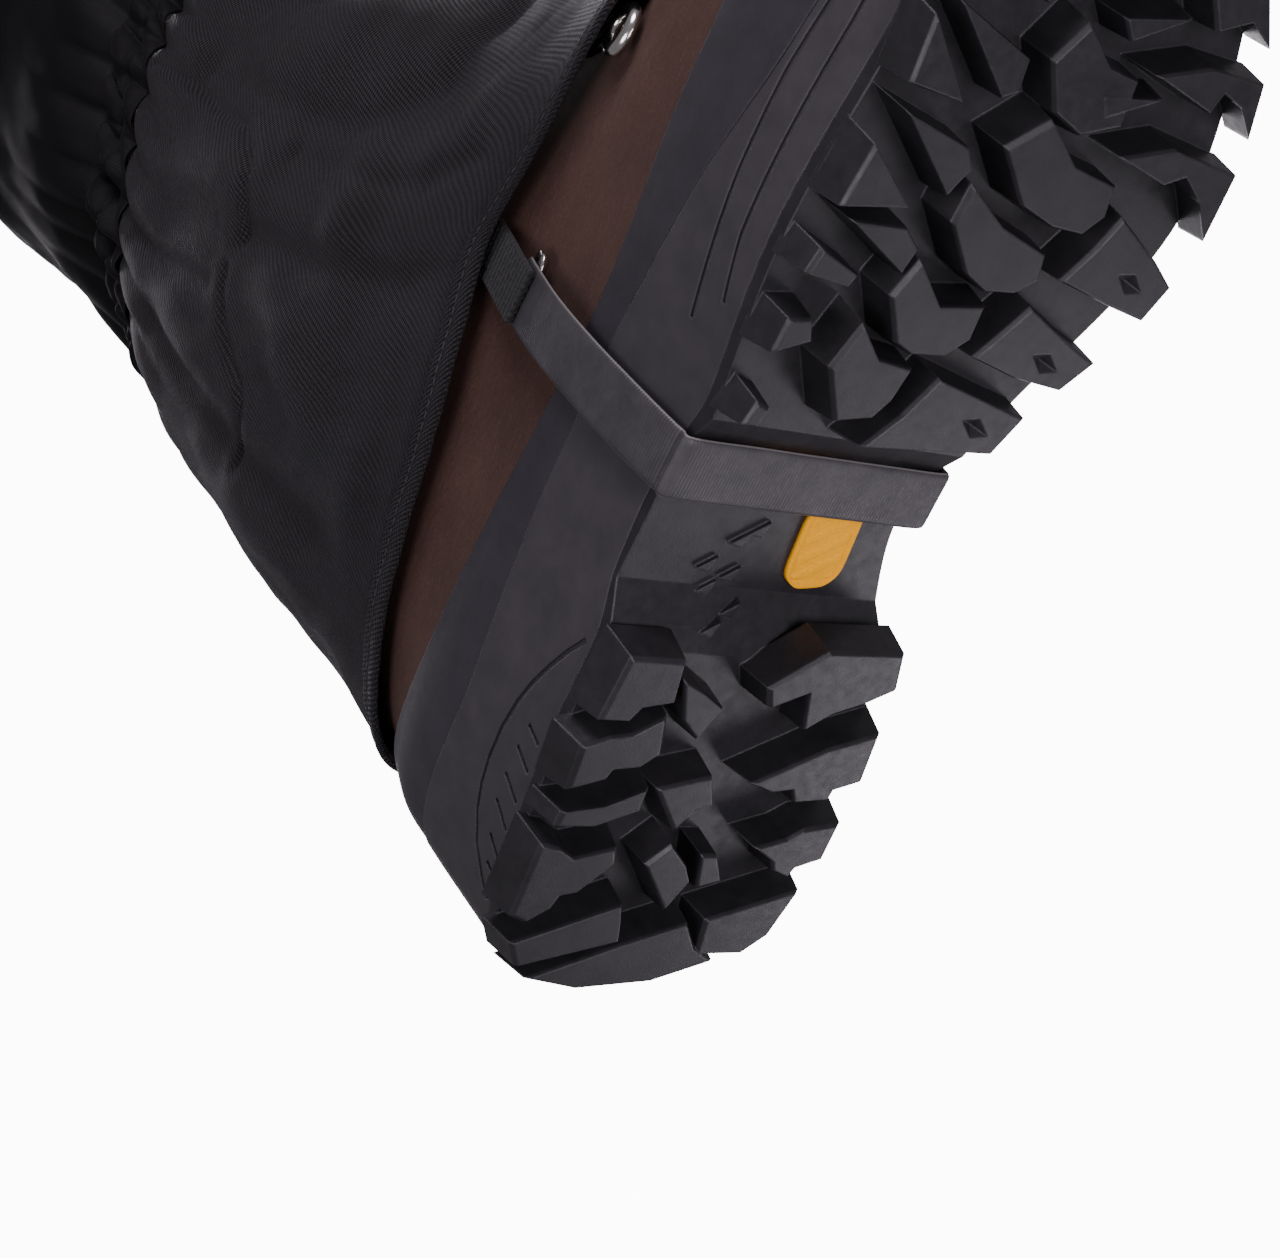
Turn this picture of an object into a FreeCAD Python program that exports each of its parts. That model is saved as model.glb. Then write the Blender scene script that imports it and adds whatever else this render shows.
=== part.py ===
import FreeCAD, Part
import math
import os

# A right mountaineering boot with a knee gaiter worn over it.
# Frame: +X towards the medial side, -Y towards the toe, +Z up, the ground at Z = 0.
# Stations along the foot are "s", millimetres forward of the back of the heel.

DIMENSIONS = [
    ("heel_to_origin", 148.61, "Y of the back of the heel"),
    ("medial_shift", -2.64, "X of the foot's axis, taken off to centre the whole"),
    ("toe_spring_start", 215.0, "station where the sole starts to rise"),
    ("toe_spring_radius", 213.0, "radius of the rise"),
    ("lug_depth", 9.5, "ground to tread plate"),
    ("lug_draft", 1.6, "how far a lug widens up to the plate"),
    ("lug_chamfer", 0.9, "chamfer at the foot of a lug"),
    ("tread_blank", 60.0, "height of the sole blank before it is trimmed"),
    ("arch_height", 16.0, "ground to the flat of the arch"),
    ("groove_depth", 0.9, "moulded lines in the midsole"),
    ("shank_thickness", 1.8, "shank plate"),
    ("board_thickness", 2.5, "insole board"),
    ("footbed_thickness", 4.5, "removable footbed"),
    ("rand_thickness", 2.2, "rubber rand"),
    ("leather_thickness", 2.4, "nubuck upper"),
    ("padding_thickness", 2.0, "foam and stiffeners"),
    ("lining_thickness", 1.5, "lining"),
    ("layer_gap", 0.2, "glue line between layers"),
    ("collar_foot", 189.0, "height where the padded collar starts"),
    ("collar_top", 206.0, "height of the collar"),
    ("tongue_top", 213.0, "height of the tongue"),
    ("tongue_half_width", 22.0, "half the tongue"),
    ("throat_half_width", 12.0, "half the lace throat"),
    ("throat_foot", 101.0, "height where the throat opens"),
    ("gaiter_thickness", 2.4, "gaiter with its lining"),
    ("hem_width", 5.0, "folded hem"),
    ("elastic_height", 258.0, "middle of the ankle elastic at the ankle"),
    ("elastic_rise", 0.45, "rise of the ankle elastic towards the shin"),
    ("elastic_half", 9.0, "half the width of the ankle elastic"),
    ("cuff_foot", 432.0, "lower edge of the top cuff"),
    ("gaiter_top", 450.0, "top of the gaiter"),
    ("strap_width", 15.0, "instep strap"),
    ("strap_thickness", 1.6, "instep strap"),
    ("strap_station", 132.5, "middle of the strap along the foot"),
    ("webbing_thickness", 1.5, "webbing tabs"),
    ("eyelet_radius", 4.0, "middle radius of an eyelet"),
    ("eyelet_wire", 1.1, "half the thickness of an eyelet"),
    ("ring_radius", 5.2, "middle radius of the side ring"),
    ("ring_wire", 1.5, "half the thickness of the side ring"),
    ("rivet_radius", 3.8, "rivet that joins strap and webbing"),
    ("rivet_height", 2.2, "rivet that joins strap and webbing"),
    ("inlay_length", 24.0, "arch inlay"),
    ("inlay_width", 17.0, "arch inlay"),
    ("inlay_thickness", 1.3, "arch inlay"),
    ("buckle_width", 23.0, "strap buckle along the foot"),
    ("buckle_height", 19.0, "strap buckle"),
    ("buckle_thickness", 2.6, "strap buckle"),
    ("buckle_bar", 3.6, "bar width of a buckle"),
    ("flap_foot", 312.0, "lower edge of the storm flap"),
    ("flap_top", 428.0, "upper edge of the storm flap"),
    ("flap_half_width", 22.0, "half the storm flap"),
    ("flap_thickness", 2.0, "storm flap"),
    ("hook_width", 9.0, "front lace hook"),
    ("hook_tab_width", 13.0, "webbing tab of the front lace hook"),
    ("hook_thickness", 1.8, "front lace hook"),
    ("pin_radius", 0.7, "hinge pins of the levers and the hook"),
    ("pin_play", 0.15, "room between a pin and the piece that turns on it"),
    ("ear_radius", 1.6, "ears that hold a pin"),
    ("ear_thickness", 1.3, "ears that hold a pin"),
]

doc = FreeCAD.newDocument("mountaineering_boot")
sheet = doc.addObject("Spreadsheet::Sheet", "Sizes")
for row, (alias, value, note) in enumerate(DIMENSIONS, start=1):
    sheet.set(f"A{row}", note)
    sheet.set(f"B{row}", str(value))
    sheet.setAlias(f"B{row}", alias)
doc.recompute()


def size(alias):
    return float(sheet.get(alias))


nodes = []

# ---------------------------------------------------------------- outline stations

# half widths of the sole and of the upper, by station along the foot
SOLE_LATERAL = [(-3, 41), (25, 41), (45, 42), (70, 43.5), (95, 43.5), (115, 43.5), (135, 44.3),
                (155, 47.5), (175, 51), (195, 52.5), (235, 51), (260, 50), (305, 46)]
SOLE_MEDIAL = [(-3, 43), (25, 48.5), (45, 49), (70, 46), (95, 40.5), (115, 31), (130, 29),
               (155, 33.5), (175, 43), (195, 54), (212, 57), (235, 55.5), (260, 52.5), (305, 46)]
UPPER_LATERAL = [(-3, 41), (45, 42.5), (95, 43.5), (135, 45), (175, 50), (195, 52.5), (235, 51),
                 (260, 50), (305, 46)]
UPPER_MEDIAL = [(-3, 42), (45, 47.5), (95, 43), (135, 40), (175, 47), (212, 57), (235, 55.5),
                (260, 52.5), (305, 46)]

# side profiles, (station, height)
PARTING_LINE = [(-8, 13.1), (86, 13.1), (104, 17.8), (121, 19.0), (138, 16.5), (150, 13.1),
                (309, 13.1)]
MIDSOLE_LINE = [(-8, 48.5), (23, 46.8), (50, 44.6), (74, 46.4), (106, 48.8), (139, 48.4),
                (159, 45), (181, 40.2), (221, 34), (250, 34), (280, 39), (309, 48)]
RAND_LINE = [(-8, 76.5), (10, 74.5), (46, 67.2), (71, 65.2), (121, 60.7), (174, 56.6), (205, 58),
             (230, 64), (262, 77), (284, 85), (309, 89)]
HEM_LINE = [(-12, 83), (6, 84), (14, 86), (23, 88), (42, 91), (66, 93), (93, 95), (115, 99.5),
            (138, 104), (153, 102), (174, 99.5), (194, 98.5), (215, 100.5), (235, 104),
            (260, 108)]

# level tables of the boot's outer surface, (height, value)
BOOT = {
    "lateral": UPPER_LATERAL,
    "medial": UPPER_MEDIAL,
    "back": [(12, -3), (62, -3.2), (78, -3.0), (94, -2.7), (118, 0.3), (154, 0.3), (183, 3.3),
             (200, 6.8), (216, 10)],
    "front": [(12, 305), (45, 305), (62, 299.5), (70, 296), (80, 288), (88, 274), (94, 258),
              (100, 241), (108, 223), (115, 208), (124, 194), (150, 170), (180, 154), (200, 146),
              (216, 142)],
    "foot": [(48, 1.0), (62, 0.955), (80, 0.88), (94, 0.82), (110, 0.79)],
    "leg": [(100, 42.2), (150, 43.2), (200, 44.2), (216, 45)],
    "mix": [(80, 0), (100, 0.25), (125, 0.7), (150, 1)],
    "toe_power": [(12, 3.0), (62, 2.8), (80, 2.7), (96, 2.7), (110, 2.4), (130, 2.0)],
    "heel_power": [(12, 5.0), (62, 4.2), (80, 3.2), (100, 2.6), (125, 2.2), (150, 2.1)],
    "proud": 0.0,
}
GAITER = {
    "lateral": UPPER_LATERAL,
    "medial": UPPER_MEDIAL,
    "back": [(60, -7), (78, -6.2), (94, -5.5), (118, -2.5), (154, -2.8), (183, 0.6), (223, 7.7),
             (253, 13), (265, 14.2), (300, 9.5), (374, -1.4), (452, -6)],
    "front": [(60, 306), (80, 295), (88, 282), (94, 267), (100, 251), (108, 234), (115, 221),
              (124, 208), (150, 184), (180, 167), (200, 159), (230, 151), (265, 144),
              (290, 142), (320, 145), (374, 152), (456, 156)],
    "foot": BOOT["foot"],
    "leg": [(100, 42.2), (150, 43.2), (200, 44.5), (230, 42.5), (265, 41), (300, 47), (374, 57),
            (452, 60)],
    "mix": BOOT["mix"],
    "toe_power": BOOT["toe_power"],
    "heel_power": BOOT["heel_power"],
    "proud": 4.5,
}
SOLE_FLARE = [(14, 0), (48, 1)]
OUTLINE_POINTS = 32
PROFILE_STEP = 9.0
BOOT_LEVELS = [26, 40, 54, 66, 76, 84, 90, 95, 100, 105, 110, 116, 124, 134, 148, 166, 186, 206,
               216]
GAITER_LEVELS = [70, 80, 88, 94, 100, 107, 116, 128, 146, 170, 198, 228, 250, 265, 282, 310,
                 350, 400, 452]


def along(stations, value):
    """Value of a smooth curve through the stations, level beyond both ends."""
    if value <= stations[0][0]:
        return stations[0][1]
    if value >= stations[-1][0]:
        return stations[-1][1]
    index = max(i for i in range(len(stations) - 1) if stations[i][0] <= value)
    (x0, y0), (x1, y1) = stations[index], stations[index + 1]
    chord = (y1 - y0) / (x1 - x0)
    slope_in = chord
    slope_out = chord
    if index > 0:
        before = (y0 - stations[index - 1][1]) / (x0 - stations[index - 1][0])
        slope_in = gentle(before, chord)
    if index + 2 < len(stations):
        after = (stations[index + 2][1] - y1) / (stations[index + 2][0] - x1)
        slope_out = gentle(chord, after)
    t = (value - x0) / (x1 - x0)
    span = x1 - x0
    return ((2 * t**3 - 3 * t**2 + 1) * y0 + (t**3 - 2 * t**2 + t) * span * slope_in
            + (3 * t**2 - 2 * t**3) * y1 + (t**3 - t**2) * span * slope_out)


def gentle(first, second):
    """Harmonic mean of two slopes, zero where they change sign, so no curve overshoots."""
    if first * second <= 0:
        return 0.0
    return 2 * first * second / (first + second)


def at(x, s, z):
    """A point x to the medial side, s forward of the heel and z above the ground."""
    return FreeCAD.Vector(x - size("medial_shift"), size("heel_to_origin") - s, z)


def spring(s):
    """Height of the rocker under the toe."""
    ahead = s - size("toe_spring_start")
    if ahead <= 0:
        return 0.0
    return ahead**2 / (2 * size("toe_spring_radius"))


def open_width(form, side, s, level):
    """Half width of a form before its heel and toe are rounded off."""
    upper = along(form[side], s)
    sole = along({"lateral": SOLE_LATERAL, "medial": SOLE_MEDIAL}[side], s)
    flare = along(SOLE_FLARE, level)
    foot = (sole + (upper - sole) * flare) * along(form["foot"], level)
    mix = along(form["mix"], level)
    return foot * (1 - mix) + along(form["leg"], level) * mix + form["proud"]


def half_width(form, side, s, z, inset=0.0):
    """Half width of a form at one station and height, zero outside it."""
    level = z + inset
    back = along(form["back"], level) + inset
    front = along(form["front"], level) - inset
    if s <= back or s >= front:
        return 0.0
    u = (s - back) / (front - back)
    power = along(form["heel_power" if u < 0.5 else "toe_power"], level)
    closing = max(0.0, 1 - abs(2 * u - 1)**power)**(1 / power)
    return (open_width(form, side, s, level) - inset) * closing


def outline(form, z, inset=0.0):
    """Closed outline of a form at one height, as points."""
    level = z + inset
    back = along(form["back"], level) + inset
    front = along(form["front"], level) - inset
    points = []
    for index in range(OUTLINE_POINTS):
        angle = 2 * math.pi * index / OUTLINE_POINTS
        s = back + (front - back) * (1 - math.cos(angle)) / 2
        side = "medial" if math.sin(angle) > 0 else "lateral"
        sign = 1 if side == "medial" else -1
        points.append(at(sign * half_width(form, side, s, z, inset), s, z))
    return points


def closed_curve(points):
    curve = Part.BSplineCurve()
    curve.interpolate(Points=points, PeriodicFlag=True)
    return curve


def open_curve(points):
    curve = Part.BSplineCurve()
    curve.interpolate(Points=points)
    return curve


def solid_form(form, levels, inset=0.0):
    """Solid through the outlines of a form at the given heights."""
    wires = [Part.Wire(closed_curve(outline(form, z, inset)).toShape()) for z in levels]
    return Part.makeLoft(wires, True, False)


def shell_form(form, levels, outer, inner):
    """Open tube between two insets of a form."""
    reach = 1.0
    inner_levels = [levels[0] - reach] + list(levels[1:-1]) + [levels[-1] + reach]
    return solid_form(form, levels, outer).cut(solid_form(form, inner_levels, inner))


def sampled(stations, lift=0.0, rocker=False):
    """Points of a side profile, close enough for a smooth curve, on the rocker if asked."""
    first = stations[0][0]
    last = stations[-1][0]
    count = round((last - first) / PROFILE_STEP)
    points = []
    for index in range(count + 1):
        s = first + (last - first) * index / count
        points.append((s, along(stations, s) + lift + (spring(s) if rocker else 0.0)))
    return points


def profile_band(low, high, reach=95):
    """Solid across the whole foot between two side profiles."""
    lower = open_curve([at(-reach, s, z) for s, z in low])
    upper = open_curve([at(-reach, s, z) for s, z in high])
    ends = [Part.LineSegment(lower.StartPoint, upper.StartPoint),
            Part.LineSegment(lower.EndPoint, upper.EndPoint)]
    edges = [curve.toShape() for curve in [lower, upper] + ends]
    face = Part.Face(Part.Wire(Part.__sortEdges__(edges)))
    return face.extrude(FreeCAD.Vector(2 * reach, 0, 0))


def block(x_range, s_range, z_range):
    """Box between the given limits."""
    corner = at(x_range[0], s_range[1], z_range[0])
    return Part.makeBox(x_range[1] - x_range[0], s_range[1] - s_range[0],
                        z_range[1] - z_range[0], corner)


def biggest_solid(shape):
    return max(shape.Solids, key=lambda solid: solid.Volume)


def add_feature(label, shape, keep=True):
    """A sub-part whose free-form shape comes from the functions above."""
    feature = doc.addObject("Part::Feature", label)
    feature.Label = label
    feature.Shape = shape
    feature.Placement = FreeCAD.Placement()
    if keep:
        nodes.append(feature)
    return feature


# ---------------------------------------------------------------- PartDesign helpers

def add_body(label, keep=True):
    body = doc.addObject("PartDesign::Body", label)
    body.Label = label
    if keep:
        nodes.append(body)
    return body


def add_sketch(body, name, role, edges, support_offset=0.0, alias=None):
    """Sketch on one of the body's own origin planes, moved along the plane's normal."""
    sketch = body.newObject("Sketcher::SketchObject", name)
    plane = next(item for item in body.Origin.OriginFeatures if item.Role == role)
    sketch.AttachmentSupport = (plane, [""])
    sketch.MapMode = "FlatFace"
    sketch.AttachmentOffset = FreeCAD.Placement(FreeCAD.Vector(0, 0, support_offset),
                                                FreeCAD.Rotation())
    if alias:
        sketch.setExpression("AttachmentOffset.Base.z", alias)
    sketch.addGeometry(edges, False)
    return sketch


def add_pad(body, sketch, name, length, symmetric=False, reverse=False):
    pad = body.newObject("PartDesign::Pad", name)
    pad.Profile = sketch
    pad.Reversed = reverse
    if symmetric:
        pad.SideType = "Symmetric"
    pad.setExpression("Length", length)
    doc.recompute()
    return pad


def add_through_pocket(body, sketch, name):
    """Pocket through all on both sides of its sketch; it has to take something away."""
    before = body.Shape.Volume
    pocket = body.newObject("PartDesign::Pocket", name)
    pocket.Profile = sketch
    pocket.SideType = "Symmetric"
    pocket.Type = "ThroughAll"
    doc.recompute()
    if body.Shape.Volume > before - 1:
        raise RuntimeError(f"{name} cuts nothing")
    return pocket


def loop(points):
    """Closed chain of straight sketch edges through flat points."""
    corners = [FreeCAD.Vector(a, b, 0) for a, b in points]
    return [Part.LineSegment(corners[i], corners[(i + 1) % len(corners)])
            for i in range(len(corners))]


def rounded_loop(centre, width, height, radius):
    """Rectangle with round corners, as lines and arcs."""
    half_w = width / 2 - radius
    half_h = height / 2 - radius
    edges = []
    turns = [(half_w, half_h, 0), (-half_w, half_h, 90), (-half_w, -half_h, 180),
             (half_w, -half_h, 270)]
    for cx, cy, start in turns:
        middle = FreeCAD.Vector(centre[0] + cx, centre[1] + cy, 0)
        circle = Part.Circle(middle, FreeCAD.Vector(0, 0, 1), radius)
        edges.append(Part.ArcOfCircle(circle, math.radians(start), math.radians(start + 90)))
    arcs = list(edges)
    for index, arc in enumerate(arcs):
        edges.append(Part.LineSegment(arc.EndPoint, arcs[(index + 1) % 4].StartPoint))
    return edges


def band_loop(path, thickness):
    """Outline of a strip that follows a path of points, with mitred corners."""
    left = []
    right = []
    for index, (a, b) in enumerate(path):
        normals = []
        for first, second in ((index - 1, index), (index, index + 1)):
            if first >= 0 and second < len(path):
                da = path[second][0] - path[first][0]
                db = path[second][1] - path[first][1]
                length = math.hypot(da, db)
                normals.append((-db / length, da / length))
        na = sum(n[0] for n in normals)
        nb = sum(n[1] for n in normals)
        scale = (thickness / 2) * len(normals) / (na**2 + nb**2)
        left.append((a + na * scale, b + nb * scale))
        right.append((a - na * scale, b - nb * scale))
    return loop(left + right[::-1])


# ---------------------------------------------------------------- outsole

# Each lug is a flat outline of (x, s) at the ground.
HEEL_LUGS = {
    "lateral_fork": [(-44, 92), (-28, 92), (-25, 81), (-34, 79), (-36, 75), (-44, 75)],
    "lateral_cross": [(-45, 68), (-38, 71), (-32, 72), (-25, 77), (-21, 67), (-25, 63), (-33, 62),
                      (-34, 59), (-43, 56)],
    "lateral_spike": [(-19, 57), (-29, 52), (-41, 50), (-41, 46), (-30, 46), (-18, 51)],
    "lateral_block": [(-42, 41), (-36, 40), (-30, 37), (-19, 40), (-17, 36), (-24, 27), (-29, 26),
                      (-30, 22), (-35, 18), (-40, 20)],
    "back_lateral": [(-36, 12), (-8, 23), (-5, 17), (-3, 12), (-31, 5)],
    "back_middle": [(-1, 11), (16, 17), (23, 9), (31, 5), (14, -1), (-10, -2.5), (-26, 1)],
    "back_medial": [(21, 18), (47, 27), (45, 13), (39, 7), (24, 7)],
    "medial_front": [(0, 86), (13, 97), (37, 98), (41, 88), (34, 84), (24, 80), (18, 75), (13, 86),
                     (3, 81)],
    "medial_second": [(11, 59), (25, 67), (30, 70), (44, 75), (47, 61), (39, 58), (39, 55),
                      (28, 54), (25, 58), (18, 57)],
    "medial_third": [(24, 40), (33, 43), (37, 46), (48, 48), (49, 37), (41, 34), (40, 31),
                     (34, 33), (32, 36)],
    "centre_front": [(-26, 87), (-18, 84), (-10, 80), (-13, 71), (-20, 76)],
    "centre_second": [(-17, 57), (-6, 60), (-2, 61), (3, 53), (-2, 51), (-5, 45)],
    "centre_third": [(-8, 35), (-3, 41), (5, 35), (9, 30), (6, 21)],
    "centre_fourth": [(8, 38), (13, 38), (19, 30), (12, 28)],
}
FOREFOOT_LUGS = {
    "medial_1": [(-5, 158), (0, 168), (16, 165), (21, 164), (32, 162), (28, 152), (-12, 149)],
    "medial_2": [(10, 180), (15, 188), (34, 181), (44, 178), (38, 170), (22, 171), (6, 174)],
    "medial_3": [(24, 204), (27, 212), (45, 204), (54, 199), (51, 190), (36, 192), (19, 195)],
    "medial_4": [(17, 224), (32, 229), (55, 227), (56, 211), (48, 219), (39, 224), (33, 221)],
    "medial_5": [(16, 242), (32, 247), (50, 247), (53, 235), (46, 241), (38, 243), (36, 238)],
    "wedge_1": [(3, 235), (21, 238), (6, 231)],
    "wedge_2": [(0, 251), (20, 255), (4, 247)],
    "lateral_1": [(-47, 150), (-46, 156), (-42, 155), (-43, 150)],
    "lateral_2": [(-49, 167), (-40, 171), (-43, 176), (-49, 175)],
    "lateral_3": [(-51, 185), (-38, 184), (-37, 187), (-50, 191)],
    "lateral_4": [(-51, 200), (-33, 203), (-50, 214)],
    "lateral_5": [(-50, 241), (-33, 226), (-49, 227)],
    "spike_1": [(-47, 222), (-26, 218), (-22, 214), (-25, 207)],
    "spike_2": [(-46, 245), (-21, 238), (-20, 231), (-24, 229)],
    "spike_3": [(-47, 198), (-31, 199), (-25, 195), (-26, 189)],
    "fork_1": [(-32, 166), (-29, 177), (-20, 170), (-9, 169), (-10, 161), (-13, 156), (-23, 154)],
    "fork_2": [(-26, 184), (-23, 193), (-11, 184), (2, 186), (3, 178), (-2, 173), (-12, 172),
               (-18, 174)],
    "fork_3": [(-20, 202), (-20, 211), (-6, 204), (11, 200), (13, 194), (8, 190), (-1, 189),
               (-9, 192)],
    "fork_4": [(-17, 220), (-8, 228), (5, 220), (20, 218), (22, 211), (18, 206), (8, 206),
               (-4, 209)],
    "fork_5": [(-15, 239), (-9, 248), (2, 241), (12, 240), (13, 230), (2, 226), (-8, 229)],
    "toe_lateral_1": [(-45, 262), (-38, 266), (-20, 256), (-22, 249), (-42, 252)],
    "toe_lateral_2": [(-37, 278), (-29, 283), (-14, 272), (-18, 265), (-33, 270)],
    "toe_lateral_3": [(-25, 290), (-14, 296), (-5, 286), (-10, 280)],
    "toe_medial_1": [(22, 262), (40, 265), (47, 254), (38, 258), (28, 254)],
    "toe_medial_2": [(16, 277), (31, 283), (40, 273), (30, 275), (22, 270)],
    "toe_medial_3": [(9, 288), (17, 296), (27, 288), (16, 281)],
    "toe_centre_1": [(-11, 262), (0, 268), (12, 263), (7, 256), (-6, 256)],
    "toe_centre_2": [(-6, 278), (1, 284), (9, 278), (5, 272), (-4, 273)],
    "toe_tip": [(-6, 299), (7, 299), (5, 291), (-1, 289)],
}
SIPES = [(18, 158), (28, 176), (40, 198)]
ARCH_STUDS = [(-21, 108), (-15, 115), (-18, 102), (-13, 106), (-10, 98), (-15, 94), (-11, 118)]


def tilted(x, s, height, middle, slope):
    """Point on a plane that follows the rocker at the lug's middle."""
    return at(x, s, spring(middle) + slope * (s - middle) + height)


def lug(points):
    """Block that widens up to the tread plate and is chamfered at its foot."""
    middle_x = sum(x for x, s in points) / len(points)
    middle_s = sum(s for x, s in points) / len(points)
    slope = max(0.0, middle_s - size("toe_spring_start")) / size("toe_spring_radius")
    radius = sum(math.hypot(x - middle_x, s - middle_s) for x, s in points) / len(points)
    reach = max(abs(s - middle_s) for x, s in points) if slope > 0 else 0.0
    lift = reach**2 / (2 * size("toe_spring_radius"))
    rings = [(0.0, -size("lug_chamfer")), (size("lug_chamfer"), 0.0),
             (size("lug_depth") + 0.8, size("lug_draft"))]
    wires = []
    for height, growth in rings:
        scale = 1 + growth / radius
        corners = [tilted(middle_x + (x - middle_x) * scale, middle_s + (s - middle_s) * scale,
                          height + lift, middle_s, slope) for x, s in points]
        wires.append(Part.makePolygon(corners + corners[:1]))
    return Part.makeLoft(wires, True, True)


def sipe(x, s):
    """Shallow diamond pyramid that is cut into the foot of a lug."""
    half_long = 5.5
    half_wide = 2.6
    depth = 2.2
    corners = [at(x - half_long, s + 1.5, -0.1), at(x, s + half_wide, -0.1),
               at(x + half_long, s - 1.5, -0.1), at(x, s - half_wide, -0.1)]
    tip = at(x, s, depth)
    faces = [Part.Face(Part.makePolygon(corners + corners[:1]))]
    for index in range(4):
        side = [corners[index], corners[(index + 1) % 4], tip, corners[index]]
        faces.append(Part.Face(Part.makePolygon(side)))
    return Part.Solid(Part.Shell(faces))


def arch_stud(x, s):
    """Small raised chevron under the arch."""
    top = plate_height(s) + 1.0
    foot = plate_height(s) - 1.2
    points = [(x - 3.0, s - 1.5), (x + 2.5, s + 2.6), (x + 1.5, s - 2.4)]
    wires = []
    for height, scale in ((foot, 0.8), (top, 1.0)):
        corners = [at(x + (px - x) * scale, s + (ps - s) * scale, height) for px, ps in points]
        wires.append(Part.makePolygon(corners + corners[:1]))
    return Part.makeLoft(wires, True, True)


def plate_underside():
    """Corners of the tread plate's underside from the heel to the start of the rocker."""
    tread = size("lug_depth")
    arch = size("arch_height")
    return [(-8, tread), (88, tread), (94, tread + 2), (102, arch), (130, arch),
            (138, arch - 2), (146, tread), (size("toe_spring_start"), tread)]


def plate_height(s):
    corners = plate_underside()
    for (s0, z0), (s1, z1) in zip(corners, corners[1:]):
        if s0 <= s <= s1:
            return z0 + (z1 - z0) * (s - s0) / (s1 - s0)
    return size("lug_depth")


def flat_point(s, z):
    """Point of the side view in the Y-Z sketch plane."""
    return FreeCAD.Vector(at(0, s, z).y, z, 0)


def capped(curves, limit):
    """Sketch edges of an open profile closed by a box that reaches up or down to a limit."""
    first = curves[0].StartPoint
    last = curves[-1].EndPoint
    far_last = FreeCAD.Vector(last.x, limit, 0)
    far_first = FreeCAD.Vector(first.x, limit, 0)
    return curves + [Part.LineSegment(last, far_last), Part.LineSegment(far_last, far_first),
                     Part.LineSegment(far_first, first)]


def make_outsole():
    body = add_body("tread_plate", keep=False)
    points = [FreeCAD.Vector(p.x, p.y, 0) for p in outline(BOOT, 12)]
    plan = add_sketch(body, "tread_plan", "XY_Plane", [closed_curve(points)])
    add_pad(body, plan, "tread_pad", "Sizes.tread_blank")
    corners = [flat_point(s, z) for s, z in plate_underside()]
    under = [Part.LineSegment(a, b) for a, b in zip(corners, corners[1:])]
    rocker = [flat_point(s, size("lug_depth") + spring(s)) for s in
              (size("toe_spring_start"), 262, 309)]
    under.append(Part.Arc(*rocker))
    over = [open_curve([flat_point(s, z) for s, z in sampled(PARTING_LINE, rocker=True)])]
    side = add_sketch(body, "tread_side", "YZ_Plane", capped(under, -20) + capped(over, 90))
    add_through_pocket(body, side, "tread_trim")
    shapes = [lug(points) for points in list(HEEL_LUGS.values()) + list(FOREFOOT_LUGS.values())]
    shapes += [arch_stud(x, s) for x, s in ARCH_STUDS]
    lugs = add_feature("tread_lugs", shapes[0].multiFuse(shapes[1:]), keep=False)
    sipes = add_feature("tread_sipes", Part.makeCompound([sipe(x, s) for x, s in SIPES]),
                        keep=False)
    joined = doc.addObject("Part::MultiFuse", "tread_joined")
    joined.Shapes = [body, lugs]
    outsole = doc.addObject("Part::Cut", "outsole")
    outsole.Base = joined
    outsole.Tool = sipes
    outsole.Label = "outsole"
    nodes.append(outsole)


def make_arch_inlay():
    body = add_body("arch_inlay")
    middle = at(10.5, 116, 0)
    edges = rounded_loop((0, 0), size("inlay_width"), size("inlay_length"), 7.5)
    sketch = add_sketch(body, "inlay_outline", "XY_Plane", edges)
    sketch.AttachmentOffset = FreeCAD.Placement(FreeCAD.Vector(middle.x, middle.y, 0),
                                                FreeCAD.Rotation(FreeCAD.Vector(0, 0, 1), -8))
    sketch.setExpression("AttachmentOffset.Base.z", "Sizes.arch_height - Sizes.inlay_thickness")
    add_pad(body, sketch, "inlay_pad", "Sizes.inlay_thickness")


make_outsole()
make_arch_inlay()

# ---------------------------------------------------------------- midsole and insole

def side_strip(points, width, reach=95):
    """Strip in the side view, as wide as given, right across the foot."""
    strip = [(seg.StartPoint, seg.EndPoint) for seg in band_loop(points, width)]
    corners = [at(-reach, start.x, start.y) for start, end in strip]
    face = Part.Face(Part.makePolygon(corners + corners[:1]))
    return face.extrude(FreeCAD.Vector(2 * reach, 0, 0))


HEEL_ARCH = [(85.6, 15.5), (80, 19), (74, 22), (67, 25), (60.5, 27), (52, 28.6), (43, 29),
             (36, 28.4), (30, 27), (22.6, 23.4), (17, 18.5), (13, 14.8)]
HEEL_DASHES = [((58.9, 20.5), (57.2, 15)), ((52.3, 21.5), (49.5, 15)), ((44.3, 22), (40.8, 15)),
               ((36.9, 21.8), (32.8, 15)), ((28.3, 20), (25.2, 15)), ((21.7, 18), (20.3, 15))]
FOREFOOT_LEDGES = [[(160, 26.5), (176, 28), (192, 29.7), (215, 31.4), (250, 31), (285, 38)],
                   [(168, 18.4), (182, 21), (197, 21.6), (230, 22.8), (262, 26.5), (292, 34)]]


def make_midsole():
    levels = [8, 14, 20, 30, 40, 50, 60]
    plain = solid_form(BOOT, levels)
    slab = plain.common(profile_band(sampled(PARTING_LINE, rocker=True), sampled(MIDSOLE_LINE)))
    cutters = [side_strip(HEEL_ARCH, 1.3)]
    cutters += [side_strip(list(dash), 1.2) for dash in HEEL_DASHES]
    cutters += [side_strip(line, 1.3) for line in FOREFOOT_LEDGES]
    groove_floor = solid_form(BOOT, levels, size("groove_depth"))
    return slab.cut(Part.makeCompound([cutter.cut(groove_floor) for cutter in cutters]))


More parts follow.
